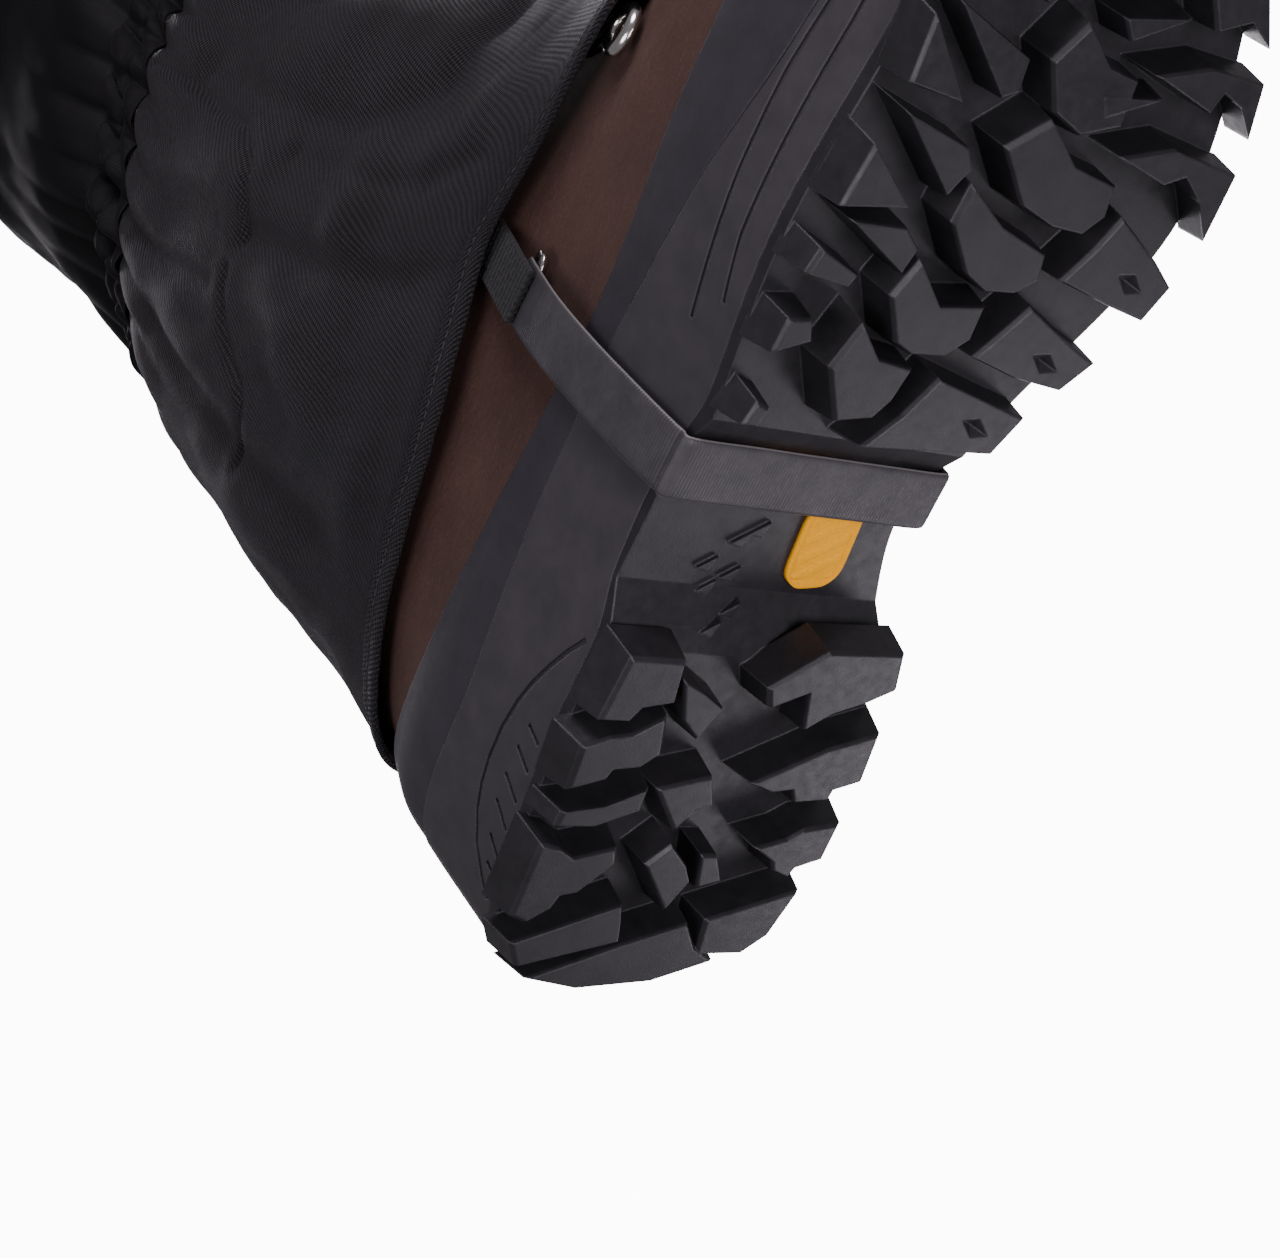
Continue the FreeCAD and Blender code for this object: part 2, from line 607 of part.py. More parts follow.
def make_sole_layers():
    shank_plan = block((-13, 13), (58, 198), (20, 60))
    shank_band = profile_band(sampled(MIDSOLE_LINE, -size("shank_thickness")),
                              sampled(MIDSOLE_LINE))
    shank = shank_plan.common(shank_band)
    add_feature("midsole", biggest_solid(make_midsole().cut(shank)))
    add_feature("shank_plate", shank)
    gap = size("layer_gap")
    rand = size("rand_thickness")
    board_top = gap + size("board_thickness")
    board = solid_form(BOOT, BOOT_LEVELS, layer_start("padding"))
    band = profile_band(sampled(MIDSOLE_LINE, gap), sampled(MIDSOLE_LINE, board_top))
    add_feature("insole_board", board.common(band))
    footbed = solid_form(BOOT, BOOT_LEVELS, layer_end("lining") + gap)
    band = profile_band(sampled(MIDSOLE_LINE, board_top + gap),
                        sampled(MIDSOLE_LINE, board_top + gap + size("footbed_thickness")))
    add_feature("footbed", footbed.common(band))
    band = profile_band(sampled(MIDSOLE_LINE, gap), sampled(RAND_LINE))
    rand_shell = shell_form(BOOT, upper_levels(), 0.0, rand)
    add_feature("rand", biggest_solid(rand_shell.common(band)))


# The upper is four layers inside one surface: rand, leather, padding, lining.
LAYERS = ["rand", "leather", "padding", "lining"]


def layer_start(name):
    total = 0.0
    for layer in LAYERS:
        if layer == name:
            return total
        total += size(layer + "_thickness") + size("layer_gap")
    raise ValueError(name)


def layer_end(name):
    return layer_start(name) + size(name + "_thickness")


def upper_levels():
    """Heights that every layer of the upper is lofted through, so that they run parallel."""
    return BOOT_LEVELS[:-2] + [size("collar_foot") + 12]


def upper_layer(name, foot):
    """One layer of the upper from a height above the midsole to the collar."""
    tube = shell_form(BOOT, upper_levels(), layer_start(name), layer_end(name))
    top = size("collar_foot") - size("layer_gap")
    return tube.common(profile_band(sampled(MIDSOLE_LINE, foot), [(-30, top), (330, top)]))


make_sole_layers()

# ---------------------------------------------------------------- upper

VAMP_STATION = 222.0


def make_upper():
    gap = size("layer_gap")
    board_top = gap + size("board_thickness") + gap
    throat = block((-size("throat_half_width"), size("throat_half_width")), (100, 320),
                   (size("throat_foot"), 230))
    tongue_half = size("tongue_half_width")
    tongue_space = block((-tongue_half - 0.5, tongue_half + 0.5), (100, 320),
                         (size("throat_foot") - 4.5, 230))
    leather = upper_layer("leather", gap).cut(throat)
    rear = (-40, VAMP_STATION)
    add_feature("quarter_lateral", biggest_solid(leather.common(
        block((-95, -gap / 2), rear, (0, 230)))))
    add_feature("quarter_medial", biggest_solid(leather.common(
        block((gap / 2, 95), rear, (0, 230)))))
    add_feature("vamp", biggest_solid(leather.common(
        block((-95, 95), (VAMP_STATION + gap, 330), (0, 230)))))
    padding = upper_layer("padding", board_top).cut(tongue_space)
    add_feature("heel_counter", biggest_solid(padding.common(
        block((-95, 95), (-40, 78), (0, 96)))))
    add_feature("toe_puff", biggest_solid(padding.common(
        block((-95, 95), (238, 330), (0, 120)))))
    add_feature("ankle_padding", biggest_solid(padding.common(
        block((-95, 95), (-40, 160), (98, 230)))))
    lining = upper_layer("lining", board_top).cut(tongue_space)
    add_feature("lining", biggest_solid(lining))
    tongue_levels = [z for z in BOOT_LEVELS if z >= 84]
    tongue = shell_form(BOOT, tongue_levels, layer_start("padding") + gap, layer_end("lining"))
    tongue = tongue.common(block((-tongue_half, tongue_half), (110, 320),
                                 (size("throat_foot") - 4, size("tongue_top"))))
    add_feature("tongue", biggest_solid(tongue))
    collar = shell_form(BOOT, [184, 195, 206, 212], 1.6, layer_end("lining") + 0.6)
    collar = collar.common(block((-95, 95), (-40, 320), (size("collar_foot"),
                                                         size("collar_top"))))
    collar = collar.cut(block((-tongue_half - 1, tongue_half + 1), (100, 320), (150, 230)))
    add_feature("collar", biggest_solid(collar))


make_upper()

# ---------------------------------------------------------------- lace hardware and rings

def front_station(form, x, z, inset):
    """Station where the front of a form has the given half width."""
    side = "medial" if x > 0 else "lateral"
    near = 90.0
    far = along(form["front"], z + inset) - inset
    for _ in range(40):
        middle = (near + far) / 2
        if half_width(form, side, middle, z, inset) > abs(x):
            near = middle
        else:
            far = middle
    return near


def surface_frame(form, x, z, inset):
    """Point on the front of a form and the outward direction there."""
    step = 1.0
    point = at(x, front_station(form, x, z, inset), z)
    across = at(x + step, front_station(form, x + step, z, inset), z) - point
    upward = at(x, front_station(form, x, z + step, inset), z + step) - point
    normal = across.cross(upward)
    normal.normalize()
    return point, normal


def side_frame(form, side, s, z, inset):
    """Point on the side of a form and the outward direction there."""
    step = 1.0
    sign = 1 if side == "medial" else -1
    point = at(sign * half_width(form, side, s, z, inset), s, z)
    ahead = at(sign * half_width(form, side, s + step, z, inset), s + step, z) - point
    upward = at(sign * half_width(form, side, s, z + step, inset), s, z + step) - point
    normal = upward.cross(ahead) * sign
    normal.normalize()
    return point, normal


def add_torus(name, point, normal, lift, radius, wire):
    torus = doc.addObject("Part::Torus", name)
    torus.setExpression("Radius1", radius)
    torus.setExpression("Radius2", wire)
    torus.Placement = FreeCAD.Placement(point + normal * lift,
                                        FreeCAD.Rotation(FreeCAD.Vector(0, 0, 1), normal))
    return torus


def add_group(label, members):
    group = doc.addObject("Part::Compound", label)
    group.Label = label
    group.Links = members
    nodes.append(group)


def make_lace_hardware():
    leather = layer_start("leather")
    rings = []
    hooks = []
    for x in (-18.5, 18.5):
        for index, z in enumerate((110, 123, 137, 151)):
            point, normal = surface_frame(BOOT, x, z, leather)
            rings.append(add_torus(f"eyelet_{x:+.0f}_{index}".replace("+", "p").replace("-", "m"),
                                   point, normal, size("eyelet_wire") + 0.3,
                                   "Sizes.eyelet_radius", "Sizes.eyelet_wire"))
        for index, z in enumerate((165, 179)):
            point, normal = surface_frame(BOOT, x, z, leather)
            turn = FreeCAD.Rotation(FreeCAD.Vector(0, 0, 1), normal)
            stem = doc.addObject("Part::Cylinder", f"hook_stem_{len(hooks)}")
            stem.Radius = 1.6
            stem.Height = 2.6
            stem.Placement = FreeCAD.Placement(point + normal * 0.5, turn)
            head = doc.addObject("Part::Cylinder", f"hook_head_{len(hooks)}")
            head.Radius = 4.2
            head.Height = 1.2
            head.Placement = FreeCAD.Placement(point + normal * 2.9, turn)
            hook = doc.addObject("Part::Fuse", f"hook_{len(hooks)}")
            hook.Base = stem
            hook.Tool = head
            hooks.append(hook)
    add_group("lace_eyelets", rings)
    add_group("lace_hooks", hooks)


def make_side_ring():
    """Grommet of the hem, half under it, in the gap between the hem and the leather."""
    point, normal = side_frame(GAITER, "lateral", 194, 97, size("gaiter_thickness"))
    ring = add_torus("side_ring", point, normal, -size("ring_wire") - 0.3, "Sizes.ring_radius",
                     "Sizes.ring_wire")
    ring.Label = "side_ring"
    nodes.append(ring)


make_lace_hardware()
make_side_ring()

# ---------------------------------------------------------------- gaiter

# the front lace hook and its tab in the side view, (station, height)
HOOK_TAB_PATH = [(229, 106.5), (238, 102.5), (247.7, 99.4)]
HOOK_PATH = [(250.2, 99.3), (257, 97.3), (264, 94.9), (267, 92.8), (265.6, 91.0), (261.5, 91.6)]
HOOK_PIVOT = (249.4, 100.2)


def flat_line(z):
    return [(-40, z), (330, z)]


def elastic_line(offset):
    """Straight side profile of the ankle elastic, which rises towards the shin."""
    middle = size("elastic_height")
    pivot = 60.0
    return [(s, middle + offset + size("elastic_rise") * (s - pivot)) for s in (-40, 190)]


def make_gaiter():
    thick = size("gaiter_thickness")
    hem = size("hem_width")
    gap = size("layer_gap")
    half = size("elastic_half")
    low = [z for z in GAITER_LEVELS if z <= 330]
    tube = shell_form(GAITER, low, 0.0, thick)
    band = profile_band(sampled(HEM_LINE, hem + gap), elastic_line(-half - gap))
    add_feature("gaiter_lower", biggest_solid(tube.common(band)))
    hem_tube = shell_form(GAITER, [z for z in low if z <= 128], -0.5, thick)
    band = profile_band(sampled(HEM_LINE), sampled(HEM_LINE, hem))
    tab_space = side_strip(HOOK_TAB_PATH, size("webbing_thickness") + 4 * gap,
                           size("hook_tab_width") / 2 + gap)
    add_feature("gaiter_hem", biggest_solid(hem_tube.common(band).cut(tab_space)))
    middle = [z for z in GAITER_LEVELS if 190 <= z <= 360]
    elastic = shell_form(GAITER, middle, -0.4, thick)
    band = profile_band(elastic_line(-half), elastic_line(half))
    add_feature("ankle_elastic", biggest_solid(elastic.common(band)))
    high = [z for z in GAITER_LEVELS if z >= 190]
    tube = shell_form(GAITER, high, 0.0, thick)
    band = profile_band(elastic_line(half + gap), flat_line(size("cuff_foot") - gap))
    add_feature("gaiter_upper", biggest_solid(tube.common(band)))
    cuff = shell_form(GAITER, [426, 440, 456], -0.6, thick)
    band = profile_band(flat_line(size("cuff_foot")), flat_line(size("gaiter_top")))
    add_feature("top_cuff", cuff.common(band))
    strap = shell_form(GAITER, [426, 440, 456], -2.2, -0.7)
    band = profile_band(flat_line(size("cuff_foot") + 3), flat_line(size("gaiter_top") - 3))
    add_feature("cuff_strap", strap.common(band))


def make_flap():
    half = size("flap_half_width")
    levels = [300, 320, 350, 400, 440]
    outside = block((-half, half), (90, 320), (size("flap_foot"), size("flap_top")))
    placket = shell_form(GAITER, levels, -0.9, -0.1)
    inner_strip = block((-half + 5, half - 3), (90, 320), (size("flap_foot") + 4,
                                                          size("flap_top") - 4))
    add_feature("front_placket", biggest_solid(placket.common(inner_strip)))
    start = -1.2
    flap = shell_form(GAITER, levels, start - size("flap_thickness"), start)
    add_feature("storm_flap", biggest_solid(flap.common(outside)))
    snaps = []
    for index, z in enumerate((328, 370, 412)):
        point, normal = surface_frame(GAITER, 15, z, start - size("flap_thickness"))
        snap = doc.addObject("Part::Cylinder", f"snap_{index}")
        snap.Radius = 5.0
        snap.Height = 1.8
        snap.Placement = FreeCAD.Placement(point - normal * 0.1,
                                           FreeCAD.Rotation(FreeCAD.Vector(0, 0, 1), normal))
        snaps.append(snap)
    add_group("flap_snaps", snaps)


make_gaiter()
make_flap()

# ---------------------------------------------------------------- strap, tabs and buckles

def strap_pad(label, path, thickness, width, middle):
    """Strip whose side view is a path in the X-Z plane, padded along the foot."""
    body = add_body(label)
    shift = size("medial_shift")
    moved = [(x - shift, z) for x, z in path]
    sketch = add_sketch(body, label + "_profile", "XZ_Plane", band_loop(moved, thickness),
                        alias=f"{middle} - Sizes.heel_to_origin")
    add_pad(body, sketch, label + "_pad", width, symmetric=True)
    return body


def add_cylinder(name, middle, axis, radius, length):
    """Cylinder about an axis, with its middle at the given point."""
    cylinder = doc.addObject("Part::Cylinder", name)
    cylinder.setExpression("Radius", radius)
    cylinder.Height = length
    turn = FreeCAD.Rotation(FreeCAD.Vector(0, 0, 1), axis)
    cylinder.Placement = FreeCAD.Placement(middle - axis * (length / 2), turn)
    return cylinder


def add_hinge(pin_label, holder, turner, middle, axis, turner_width,
              ear_radius="Sizes.ear_radius"):
    """Pin through the turning piece, held by an ear of the holder at each end."""
    ear = size("ear_thickness")
    play = size("pin_play")
    offset = turner_width / 2 + play + ear / 2
    ears = [add_cylinder(f"{pin_label}_ear_{index}", middle + axis * (side * offset), axis,
                         ear_radius, ear) for index, side in enumerate((-1, 1))]
    whole_length = 2 * (offset + ear / 2)
    joined = doc.addObject("Part::MultiFuse", pin_label + "_ears")
    joined.Shapes = [holder] + ears
    for piece, base, radius in (
            (holder, joined, "Sizes.pin_radius"),
            (turner, turner, "Sizes.pin_radius + Sizes.pin_play")):
        bored = doc.addObject("Part::Cut", piece.Label.replace("_blank", "") + "_bored")
        bored.Base = base
        bored.Tool = add_cylinder(bored.Name + "_bore", middle, axis, radius, whole_length + 2)
        bored.Label = piece.Label.replace("_blank", "")
        nodes.append(bored)
    pin = add_cylinder(pin_label, middle, axis, "Sizes.pin_radius", whole_length)
    pin.Label = pin_label
    nodes.append(pin)


# paths across the foot at the strap's station, (x, height)
STRAP_PATH = [(-41.0, 88.8), (-42.4, 84), (-45.6, 70), (-47.3, 52), (-47.7, 34), (-47.3, 20),
              (-46.7, 14.6), (-45.0, 11.8), (-20, 11.6), (10, 11.6), (30.6, 11.8), (33.2, 14.5),
              (36.2, 26), (40.6, 40), (43.2, 52), (43.9, 64), (43.4, 76)]
TAB_LATERAL = [(-37.4, 109), (-39.4, 101), (-42.3, 91.5), (-45.0, 82)]
TAB_MEDIAL = [(42.1, 107), (42.3, 97), (42.9, 90)]
RIVET_PLACE = (-40.2, 138.8, 86.6)
STRAP_BUCKLE_X = 44.4
STRAP_BUCKLE_Z = 83.0
STRAP_PIN_RISE = 4.0
CUFF_BUCKLE_STATION = 78.0
CUFF_LEVER_LIFT = 3.3
CUFF_LEVER_WIDTH = 15.0
CUFF_LEVER_THICKNESS = 1.8
CUFF_PIN_RISE = 4.6
LEVER_GAP = 0.35


def make_strap():
    strap_pad("instep_strap", STRAP_PATH, size("strap_thickness"), "Sizes.strap_width",
              "Sizes.strap_station")
    strap_pad("webbing_tab_lateral", TAB_LATERAL, size("webbing_thickness") * 0.9,
              "Sizes.strap_width - 1", "Sizes.strap_station")
    strap_pad("webbing_tab_medial", TAB_MEDIAL, size("webbing_thickness"),
              "Sizes.strap_width - 1", "Sizes.strap_station")


def make_strap_buckle():
    """Frame with a window and a cam lever that turns about a pin near its upper edge."""
    middle = at(0, size("strap_station"), STRAP_BUCKLE_Z)
    width = size("buckle_width")
    height = size("buckle_height")
    bar = size("buckle_bar")
    thick = size("buckle_thickness")
    face = STRAP_BUCKLE_X - size("medial_shift")
    frame = add_body("strap_buckle_frame_blank", keep=False)
    outer = rounded_loop((middle.y, middle.z), width, height, 2.5)
    window = rounded_loop((middle.y, middle.z), width - 2 * bar, height - 2 * bar, 1.2)
    sketch = add_sketch(frame, "strap_frame_outline", "YZ_Plane", outer + window,
                        support_offset=face)
    add_pad(frame, sketch, "strap_frame_pad", "Sizes.buckle_thickness")
    lever = add_body("strap_buckle_lever_blank", keep=False)
    lever_width = width - 2 * (size("ear_thickness") + size("pin_play"))
    outline_edges = rounded_loop((middle.y, middle.z - 1.0), lever_width, height - 7, 2.0)
    sketch = add_sketch(lever, "strap_lever_outline", "YZ_Plane", outline_edges,
                        support_offset=face + thick + LEVER_GAP)
    add_pad(lever, sketch, "strap_lever_pad", "Sizes.buckle_thickness * 0.8")
    pivot = FreeCAD.Vector(face + thick + LEVER_GAP + 0.4 * thick, middle.y,
                           middle.z + STRAP_PIN_RISE)
    add_hinge("strap_lever_pin", frame, lever, pivot, FreeCAD.Vector(0, -1, 0), lever_width)


def make_strap_rivet():
    """Rivet that joins webbing and strap; its broad head lies on the inner side."""
    rivet = doc.addObject("Part::Cone", "strap_rivet")
    rivet.Label = "strap_rivet"
    rivet.setExpression("Radius1", "Sizes.rivet_radius")
    rivet.setExpression("Radius2", "Sizes.rivet_radius * 0.6")
    rivet.setExpression("Height", "Sizes.rivet_height")
    inward = FreeCAD.Vector(0.93, 0, -0.37)
    rivet.Placement = FreeCAD.Placement(at(*RIVET_PLACE),
                                        FreeCAD.Rotation(FreeCAD.Vector(0, 0, 1), inward))
    nodes.append(rivet)


def make_cuff_buckle():
    """Cam buckle on the cuff strap, on the lateral side."""
    z = (size("cuff_foot") + size("gaiter_top")) / 2
    point, normal = side_frame(GAITER, "lateral", CUFF_BUCKLE_STATION, z, -2.2)
    upward = FreeCAD.Vector(0, 0, 1) - normal * normal.z
    upward.normalize()
    turn = FreeCAD.Rotation(normal, upward.cross(normal), upward, "XZY")
    plates = []
    for label, lift, width, height, thickness in (
            ("cuff_buckle_frame", 0.5, 22, 18, 2.4),
            ("cuff_buckle_lever", CUFF_LEVER_LIFT, CUFF_LEVER_WIDTH, 12,
             CUFF_LEVER_THICKNESS)):
        plate = add_body(label + "_blank", keep=False)
        edges = rounded_loop((0, 0), width, height, 2.2)
        if label.endswith("frame"):
            edges += rounded_loop((0, 0), width - 7, height - 7, 1.2)
        sketch = add_sketch(plate, label + "_outline", "YZ_Plane", edges)
        pad = plate.newObject("PartDesign::Pad", label + "_pad")
        pad.Profile = sketch
        pad.Length = thickness
        plate.Placement = FreeCAD.Placement(point + normal * lift, turn)
        plates.append(plate)
    pivot = (point + normal * (CUFF_LEVER_LIFT + CUFF_LEVER_THICKNESS / 2)
             + upward * CUFF_PIN_RISE)
    add_hinge("cuff_lever_pin", plates[0], plates[1], pivot, upward.cross(normal),
              CUFF_LEVER_WIDTH)


def make_lace_hook():
    """Webbing tab under the front hem and the metal hook that turns on a pin in it."""
    heel = size("heel_to_origin")
    tab = add_body("hook_tab_blank", keep=False)
    path = [(heel - s, z) for s, z in HOOK_TAB_PATH]
    sketch = add_sketch(tab, "hook_tab_profile", "YZ_Plane",
                        band_loop(path, size("webbing_thickness")),
                        alias="0 - Sizes.medial_shift")
    add_pad(tab, sketch, "hook_tab_pad", "Sizes.hook_tab_width", symmetric=True)
    hook = add_body("lace_hook_strip", keep=False)
    path = [(heel - s, z) for s, z in HOOK_PATH]
    sketch = add_sketch(hook, "lace_hook_profile", "YZ_Plane",
                        band_loop(path, size("hook_thickness")), alias="0 - Sizes.medial_shift")
    add_pad(hook, sketch, "lace_hook_pad", "Sizes.hook_width", symmetric=True)
    pivot = at(0, *HOOK_PIVOT)
    across = FreeCAD.Vector(1, 0, 0)
    knuckle = add_cylinder("lace_hook_knuckle", pivot, across, "Sizes.ear_radius - 0.2",
                           size("hook_width"))
    rolled = doc.addObject("Part::Fuse", "lace_hook_rolled")
    rolled.Base = hook
    rolled.Tool = knuckle
    rolled.Label = "lace_hook_blank"
    add_hinge("lace_hook_pin", tab, rolled, pivot, across, size("hook_width"),
              "Sizes.ear_radius + 0.7")


make_strap()
make_strap_buckle()
make_strap_rivet()
make_cuff_buckle()
make_lace_hook()

# ---------------------------------------------------------------- checks and export

doc.recompute()
for item in doc.Objects:
    if "Invalid" in item.State or "Error" in item.State:
        raise RuntimeError(f"{item.Label} failed: {item.State}")
os.makedirs("parts", exist_ok=True)
whole = FreeCAD.BoundBox()
for node in nodes:
    shape = node.Shape
    if shape.isNull() or not shape.isValid() or not shape.Solids:
        raise RuntimeError(f"{node.Label} is not a valid solid")
    whole.add(shape.BoundBox)
    shape.exportStep(f"parts/{node.Label}.step")
    print(f"{node.Label:22s} solids {len(shape.Solids)} volume {shape.Volume / 1000:8.2f} cm3")
print("bounds", whole)
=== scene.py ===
import math

import bpy
import numpy as np
from mathutils import Matrix, Vector, noise


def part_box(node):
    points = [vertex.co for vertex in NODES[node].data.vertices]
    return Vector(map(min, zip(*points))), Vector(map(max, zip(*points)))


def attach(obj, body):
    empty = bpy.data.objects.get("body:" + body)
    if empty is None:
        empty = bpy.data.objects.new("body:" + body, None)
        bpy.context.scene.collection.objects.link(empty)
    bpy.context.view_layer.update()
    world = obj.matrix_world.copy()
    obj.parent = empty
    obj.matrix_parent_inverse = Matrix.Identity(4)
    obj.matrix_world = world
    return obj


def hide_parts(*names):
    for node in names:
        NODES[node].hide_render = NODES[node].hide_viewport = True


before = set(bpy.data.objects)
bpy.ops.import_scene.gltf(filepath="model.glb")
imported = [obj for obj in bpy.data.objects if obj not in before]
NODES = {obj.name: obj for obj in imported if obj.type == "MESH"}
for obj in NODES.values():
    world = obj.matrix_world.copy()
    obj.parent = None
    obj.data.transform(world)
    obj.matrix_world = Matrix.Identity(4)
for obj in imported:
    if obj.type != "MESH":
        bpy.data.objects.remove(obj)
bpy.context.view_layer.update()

# A right mountaineering boot under a knee gaiter.
# Shapes are worked out in millimetres and turned into metres when a mesh is made.
# x is towards the medial side, s forward of the back of the heel and z up from the ground.

MM = 0.001
HEEL_TO_ORIGIN = 148.61
MEDIAL_SHIFT = -2.64

# ------------------------------------------------------------------ the boot's and gaiter's form

SOLE_LATERAL = [(-3, 41), (25, 41), (45, 42), (70, 43.5), (95, 43.5), (115, 43.5), (135, 44.3),
                (155, 47.5), (175, 51), (195, 52.5), (235, 51), (260, 50), (305, 46)]
SOLE_MEDIAL = [(-3, 43), (25, 48.5), (45, 49), (70, 46), (95, 40.5), (115, 31), (130, 29),
               (155, 33.5), (175, 43), (195, 54), (212, 57), (235, 55.5), (260, 52.5), (305, 46)]
UPPER_LATERAL = [(-3, 41), (45, 42.5), (95, 43.5), (135, 45), (175, 50), (195, 52.5), (235, 51),
                 (260, 50), (305, 46)]
UPPER_MEDIAL = [(-3, 42), (45, 47.5), (95, 43), (135, 40), (175, 47), (212, 57), (235, 55.5),
                (260, 52.5), (305, 46)]
SOLE_FLARE = [(14, 0), (48, 1)]
MIDSOLE_LINE = [(-8, 48.5), (23, 46.8), (50, 44.6), (74, 46.4), (106, 48.8), (139, 48.4),
                (159, 45), (181, 40.2), (221, 34), (250, 34), (280, 39), (309, 48)]
HEM_LINE = [(-12, 83), (6, 84), (14, 86), (23, 88), (42, 91), (66, 93), (93, 95), (115, 99.5),
            (138, 104), (153, 102), (174, 99.5), (194, 98.5), (215, 100.5), (235, 104),
            (260, 108)]
BOOT = {
    "back": [(12, -3), (62, -3.2), (78, -3.0), (94, -2.7), (118, 0.3), (154, 0.3), (183, 3.3),
             (200, 6.8), (216, 10)],
    "front": [(12, 305), (45, 305), (62, 299.5), (70, 296), (80, 288), (88, 274), (94, 258),
              (100, 241), (108, 223), (115, 208), (124, 194), (150, 170), (180, 154), (200, 146),
              (216, 142)],
    "foot": [(48, 1.0), (62, 0.955), (80, 0.88), (94, 0.82), (110, 0.79)],
    "leg": [(100, 42.2), (150, 43.2), (200, 44.2), (216, 45)],
    "mix": [(80, 0), (100, 0.25), (125, 0.7), (150, 1)],
    "toe_power": [(12, 3.0), (62, 2.8), (80, 2.7), (96, 2.7), (110, 2.4), (130, 2.0)],
    "heel_power": [(12, 5.0), (62, 4.2), (80, 3.2), (100, 2.6), (125, 2.2), (150, 2.1)],
    "proud": 0.0,
}
GAITER = dict(
    BOOT,
    back=[(60, -7), (78, -6.2), (94, -5.5), (118, -2.5), (154, -2.8), (183, 0.6), (223, 7.7),
          (253, 13), (265, 14.2), (300, 9.5), (374, -1.4), (452, -6)],
    front=[(60, 306), (80, 295), (88, 282), (94, 267), (100, 251), (108, 234), (115, 221),
           (124, 208), (150, 184), (180, 167), (200, 159), (230, 151), (265, 144), (290, 142),
           (320, 145), (374, 152), (456, 156)],
    leg=[(100, 42.2), (150, 43.2), (200, 44.5), (230, 42.5), (265, 41), (300, 47), (374, 57),
         (452, 60)],
    proud=4.5,
)
ELASTIC_HEIGHT = 258.0
ELASTIC_RISE = 0.45
ELASTIC_PIVOT = 60.0
ELASTIC_HALF = 9.0
CUFF_FOOT = 432.0
GAITER_TOP = 450.0
COLLAR_FOOT = 189.0
COLLAR_TOP = 206.0
COLLAR_DEPTH = 5.6
COLLAR_HALF = 3.6
TONGUE_FOOT = 97.0
TONGUE_TOP = 213.0
TONGUE_HALF = 22.0
PADDING_DEPTH = 5.0
LINING_DEPTH = 7.2
LINING_END = 8.7
FLAP_FOOT = 312.0
FLAP_TOP = 428.0
FLAP_HALF = 22.0
FLAP_SEAM = 4.0
FLAP_STANDOFF = 2.2
STRAP_STATION = 132.5
STRAP_WIDTH = 15.0
STRAP_THICKNESS = 1.6
STRAP_PATH = [(-41.0, 88.8), (-42.4, 84), (-45.6, 70), (-47.3, 52), (-47.7, 34), (-47.3, 20),
              (-46.7, 14.6), (-45.0, 11.8), (-20, 11.6), (10, 11.6), (30.6, 11.8), (33.2, 14.5),
              (36.2, 26), (40.6, 40), (43.2, 52), (43.9, 64), (43.4, 76)]
TAB_LATERAL = [(-37.4, 109), (-39.4, 101), (-42.3, 91.5), (-45.0, 82)]
TAB_MEDIAL = [(42.1, 107), (42.3, 97), (42.9, 90)]
HOOK_TAB = [(229, 106.5), (238, 102.5), (247.7, 99.4)]


def along(stations, value):
    """Values of a smooth curve through the stations, level beyond both ends."""
    knots, heights = np.array(stations, float).T
    chord = np.diff(heights) / np.diff(knots)
    product = chord[:-1] * chord[1:]
    total = np.where(product > 0, chord[:-1] + chord[1:], 1.0)
    gentle = np.where(product > 0, 2 * product / total, 0.0)
    slope_in = np.concatenate([chord[:1], gentle])
    slope_out = np.concatenate([gentle, chord[-1:]])
    x = np.clip(value, knots[0], knots[-1])
    i = np.clip(np.searchsorted(knots, x, side="right") - 1, 0, len(chord) - 1)
    span = knots[i + 1] - knots[i]
    t = (x - knots[i]) / span
    return ((2 * t**3 - 3 * t**2 + 1) * heights[i] + (t**3 - 2 * t**2 + t) * span * slope_in[i]
            + (3 * t**2 - 2 * t**3) * heights[i + 1] + (t**3 - t**2) * span * slope_out[i])


def at(x, s, z):
    """Points in the row frame, still in millimetres."""
    x, s, z = np.broadcast_arrays(x, s, z)
    return np.stack([x - MEDIAL_SHIFT, HEEL_TO_ORIGIN - s, z], axis=-1).astype(float)


def open_width(form, sole, upper, s, level):
    """Half width of a form before its heel and toe are rounded off."""
    narrow = along(sole, s)
    foot = (narrow + (along(upper, s) - narrow) * along(SOLE_FLARE, level))
    mix = along(form["mix"], level)
    return (foot * along(form["foot"], level) * (1 - mix) + along(form["leg"], level) * mix
            + form["proud"])


def skin(form, angle, z, inset=0.0):
    """Points (x, s) of a form by angle from the heel over the medial side, and height."""
    level = z + inset
    back = along(form["back"], level) + inset
    front = along(form["front"], level) - inset
    u = (1 - np.cos(angle)) / 2
    s = back + (front - back) * u
    power = np.where(u < 0.5, along(form["heel_power"], level), along(form["toe_power"], level))
    closing = np.maximum(0, 1 - np.abs(2 * u - 1)**power)**(1 / power)
    medial = open_width(form, SOLE_MEDIAL, UPPER_MEDIAL, s, level)
    lateral = open_width(form, SOLE_LATERAL, UPPER_LATERAL, s, level)
    side = np.sign(np.sin(angle))
    return side * (np.where(side > 0, medial, lateral) - inset) * closing, s


def skin_points(form, angle, z, inset=0.0):
    x, s = skin(form, angle, z, inset)
    return at(x, s, z)


def even_angles(form, z, count):
    """Angles that divide a form evenly at one height."""
    dense = np.linspace(0, 2 * math.pi, 6001)
    length = run_along(skin_points(form, dense, np.full(dense.shape, float(z))))
    wanted = np.linspace(0, length[-1], count, endpoint=False)
    return np.interp(wanted, length, dense)


def elastic_middle(s):
    """Height of the middle of the ankle elastic."""
    return ELASTIC_HEIGHT + ELASTIC_RISE * (s - ELASTIC_PIVOT)


